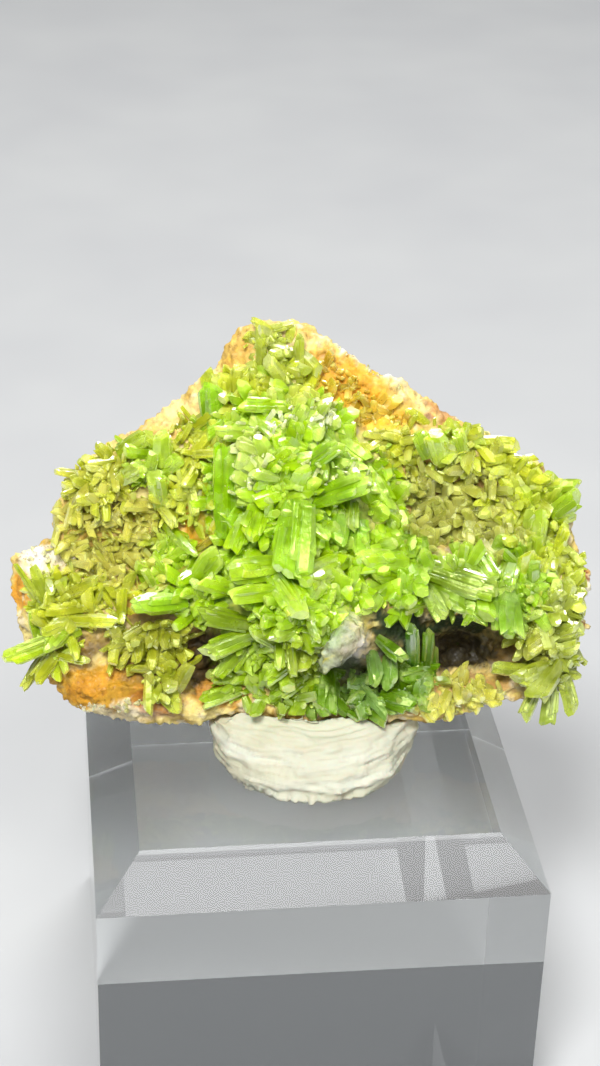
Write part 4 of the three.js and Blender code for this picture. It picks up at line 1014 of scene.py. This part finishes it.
def make_sprays(rock):
    clear = crystal_material("quartz_and_frost", 0.3, 0.4)
    for index, (name, slot, patches, per_area, length, radius, raised, colour) in enumerate(SPRAYS):
        growth = Growth(SPRAY_SEED + index)
        for patch in patches:
            scatter(growth, rock, patch, per_area, length, radius, colour, FINE_HABITS, raised)
        finish_piece(growth.piece(name, clear), slot)


def ripple(place, steps, height):
    """Noise at a place, with its own step along each axis."""
    return noise.noise(Vector([along * step for along, step in zip(place, steps)])) * height


def make_putty():
    putty = remeshed("mounting_putty", "pressed_putty", PUTTY_VOXEL)
    mesh = putty.data
    normals = point_array(mesh, "normal")
    points = point_array(mesh)
    moved = []
    for place, normal in zip(points, normals):
        p = Vector(place) / MM
        proud = ripple(p, *PUTTY_WRINKLE) - abs(ripple(p, *PUTTY_CREASE))
        proud += ripple(p, *PUTTY_DENT) + ripple(p, *PUTTY_CRUMB)
        low = min(1.0, max(0.0, 1 - (p.z - PUTTY_FOOT) / PUTTY_LIP)) ** 2
        left = min(1.0, max(0.0, (TEETH_FADE - p.x) / TEETH_FADE))
        teeth = ripple((p.x, p.y, 3), TEETH_BROAD, 1) + ripple((p.x, p.y, 7), TEETH_FINE, 1)
        outward = Vector((normal[0], normal[1], 0)) * low * (LIP_REACH + LIP_TEETH * left * teeth)
        if normal[2] < UNDERSIDE:
            proud = 0.0
        moved.append(Vector(place) + (Vector(normal) * proud + outward) * MM)
    set_points(mesh, [tuple(p) for p in moved])
    mesh.materials.clear()
    mesh.materials.append(putty_material())
    mesh.shade_smooth()
    finish_piece(putty, "putty", "mounting_putty")


def dress_block():
    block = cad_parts["acrylic_block"]
    block.data.materials.clear()
    block.data.materials.append(acrylic_material())
    edge = block.modifiers.new("polished edges", "BEVEL")
    edge.width = BLOCK_ROUNDING
    edge.segments = 3
    edge.limit_method = "ANGLE"


def make_floor():
    corners = [(x * FLOOR_HALF, y * FLOOR_HALF, FLOOR) for x, y in ((-1, -1), (1, -1), (1, 1), (-1, 1))]
    floor = mesh_object("studio_floor_plane", corners, [(0, 1, 2, 3)])
    floor.data.materials.append(floor_material())


def make_light(name, place, size, power):
    light = bpy.data.lights.new(name, "AREA")
    light.shape = "DISK"
    light.size = size
    light.energy = power
    lamp = bpy.data.objects.new(name, light)
    lamp.location = place
    lamp.rotation_mode = "QUATERNION"
    lamp.rotation_quaternion = (Vector(LAMP_AIM) - Vector(place)).to_track_quat("-Z", "Y")
    lamp.visible_transmission = False
    bpy.context.scene.collection.objects.link(lamp)


def make_lights():
    for lamp in LAMPS:
        make_light(*lamp)
    world = bpy.data.worlds.new("studio")
    world.use_nodes = True
    world.node_tree.nodes["Background"].inputs["Color"].default_value = SKY
    world.node_tree.nodes["Background"].inputs["Strength"].default_value = SKY_STRENGTH
    bpy.context.scene.world = world
    bpy.context.scene.view_settings.view_transform = "Standard"


def make_camera():
    data = bpy.data.cameras.new("photo_view")
    data.lens = CAMERA_LENS
    data.sensor_width = SENSOR_LONG_SIDE
    data.clip_start = 0.01
    camera = bpy.data.objects.new("photo_view", data)
    turn = Matrix((CAMERA_RIGHT, -Vector(CAMERA_DOWN), -Vector(CAMERA_AXIS))).transposed()
    camera.matrix_world = Matrix.Translation(CAMERA_PLACE) @ turn.to_4x4()
    bpy.context.scene.collection.objects.link(camera)
    bpy.context.scene.camera = camera


rock_surface = make_rock()
make_clusters(rock_surface)
make_sprays(rock_surface)
make_putty()
dress_block()
make_floor()
make_lights()
make_camera()
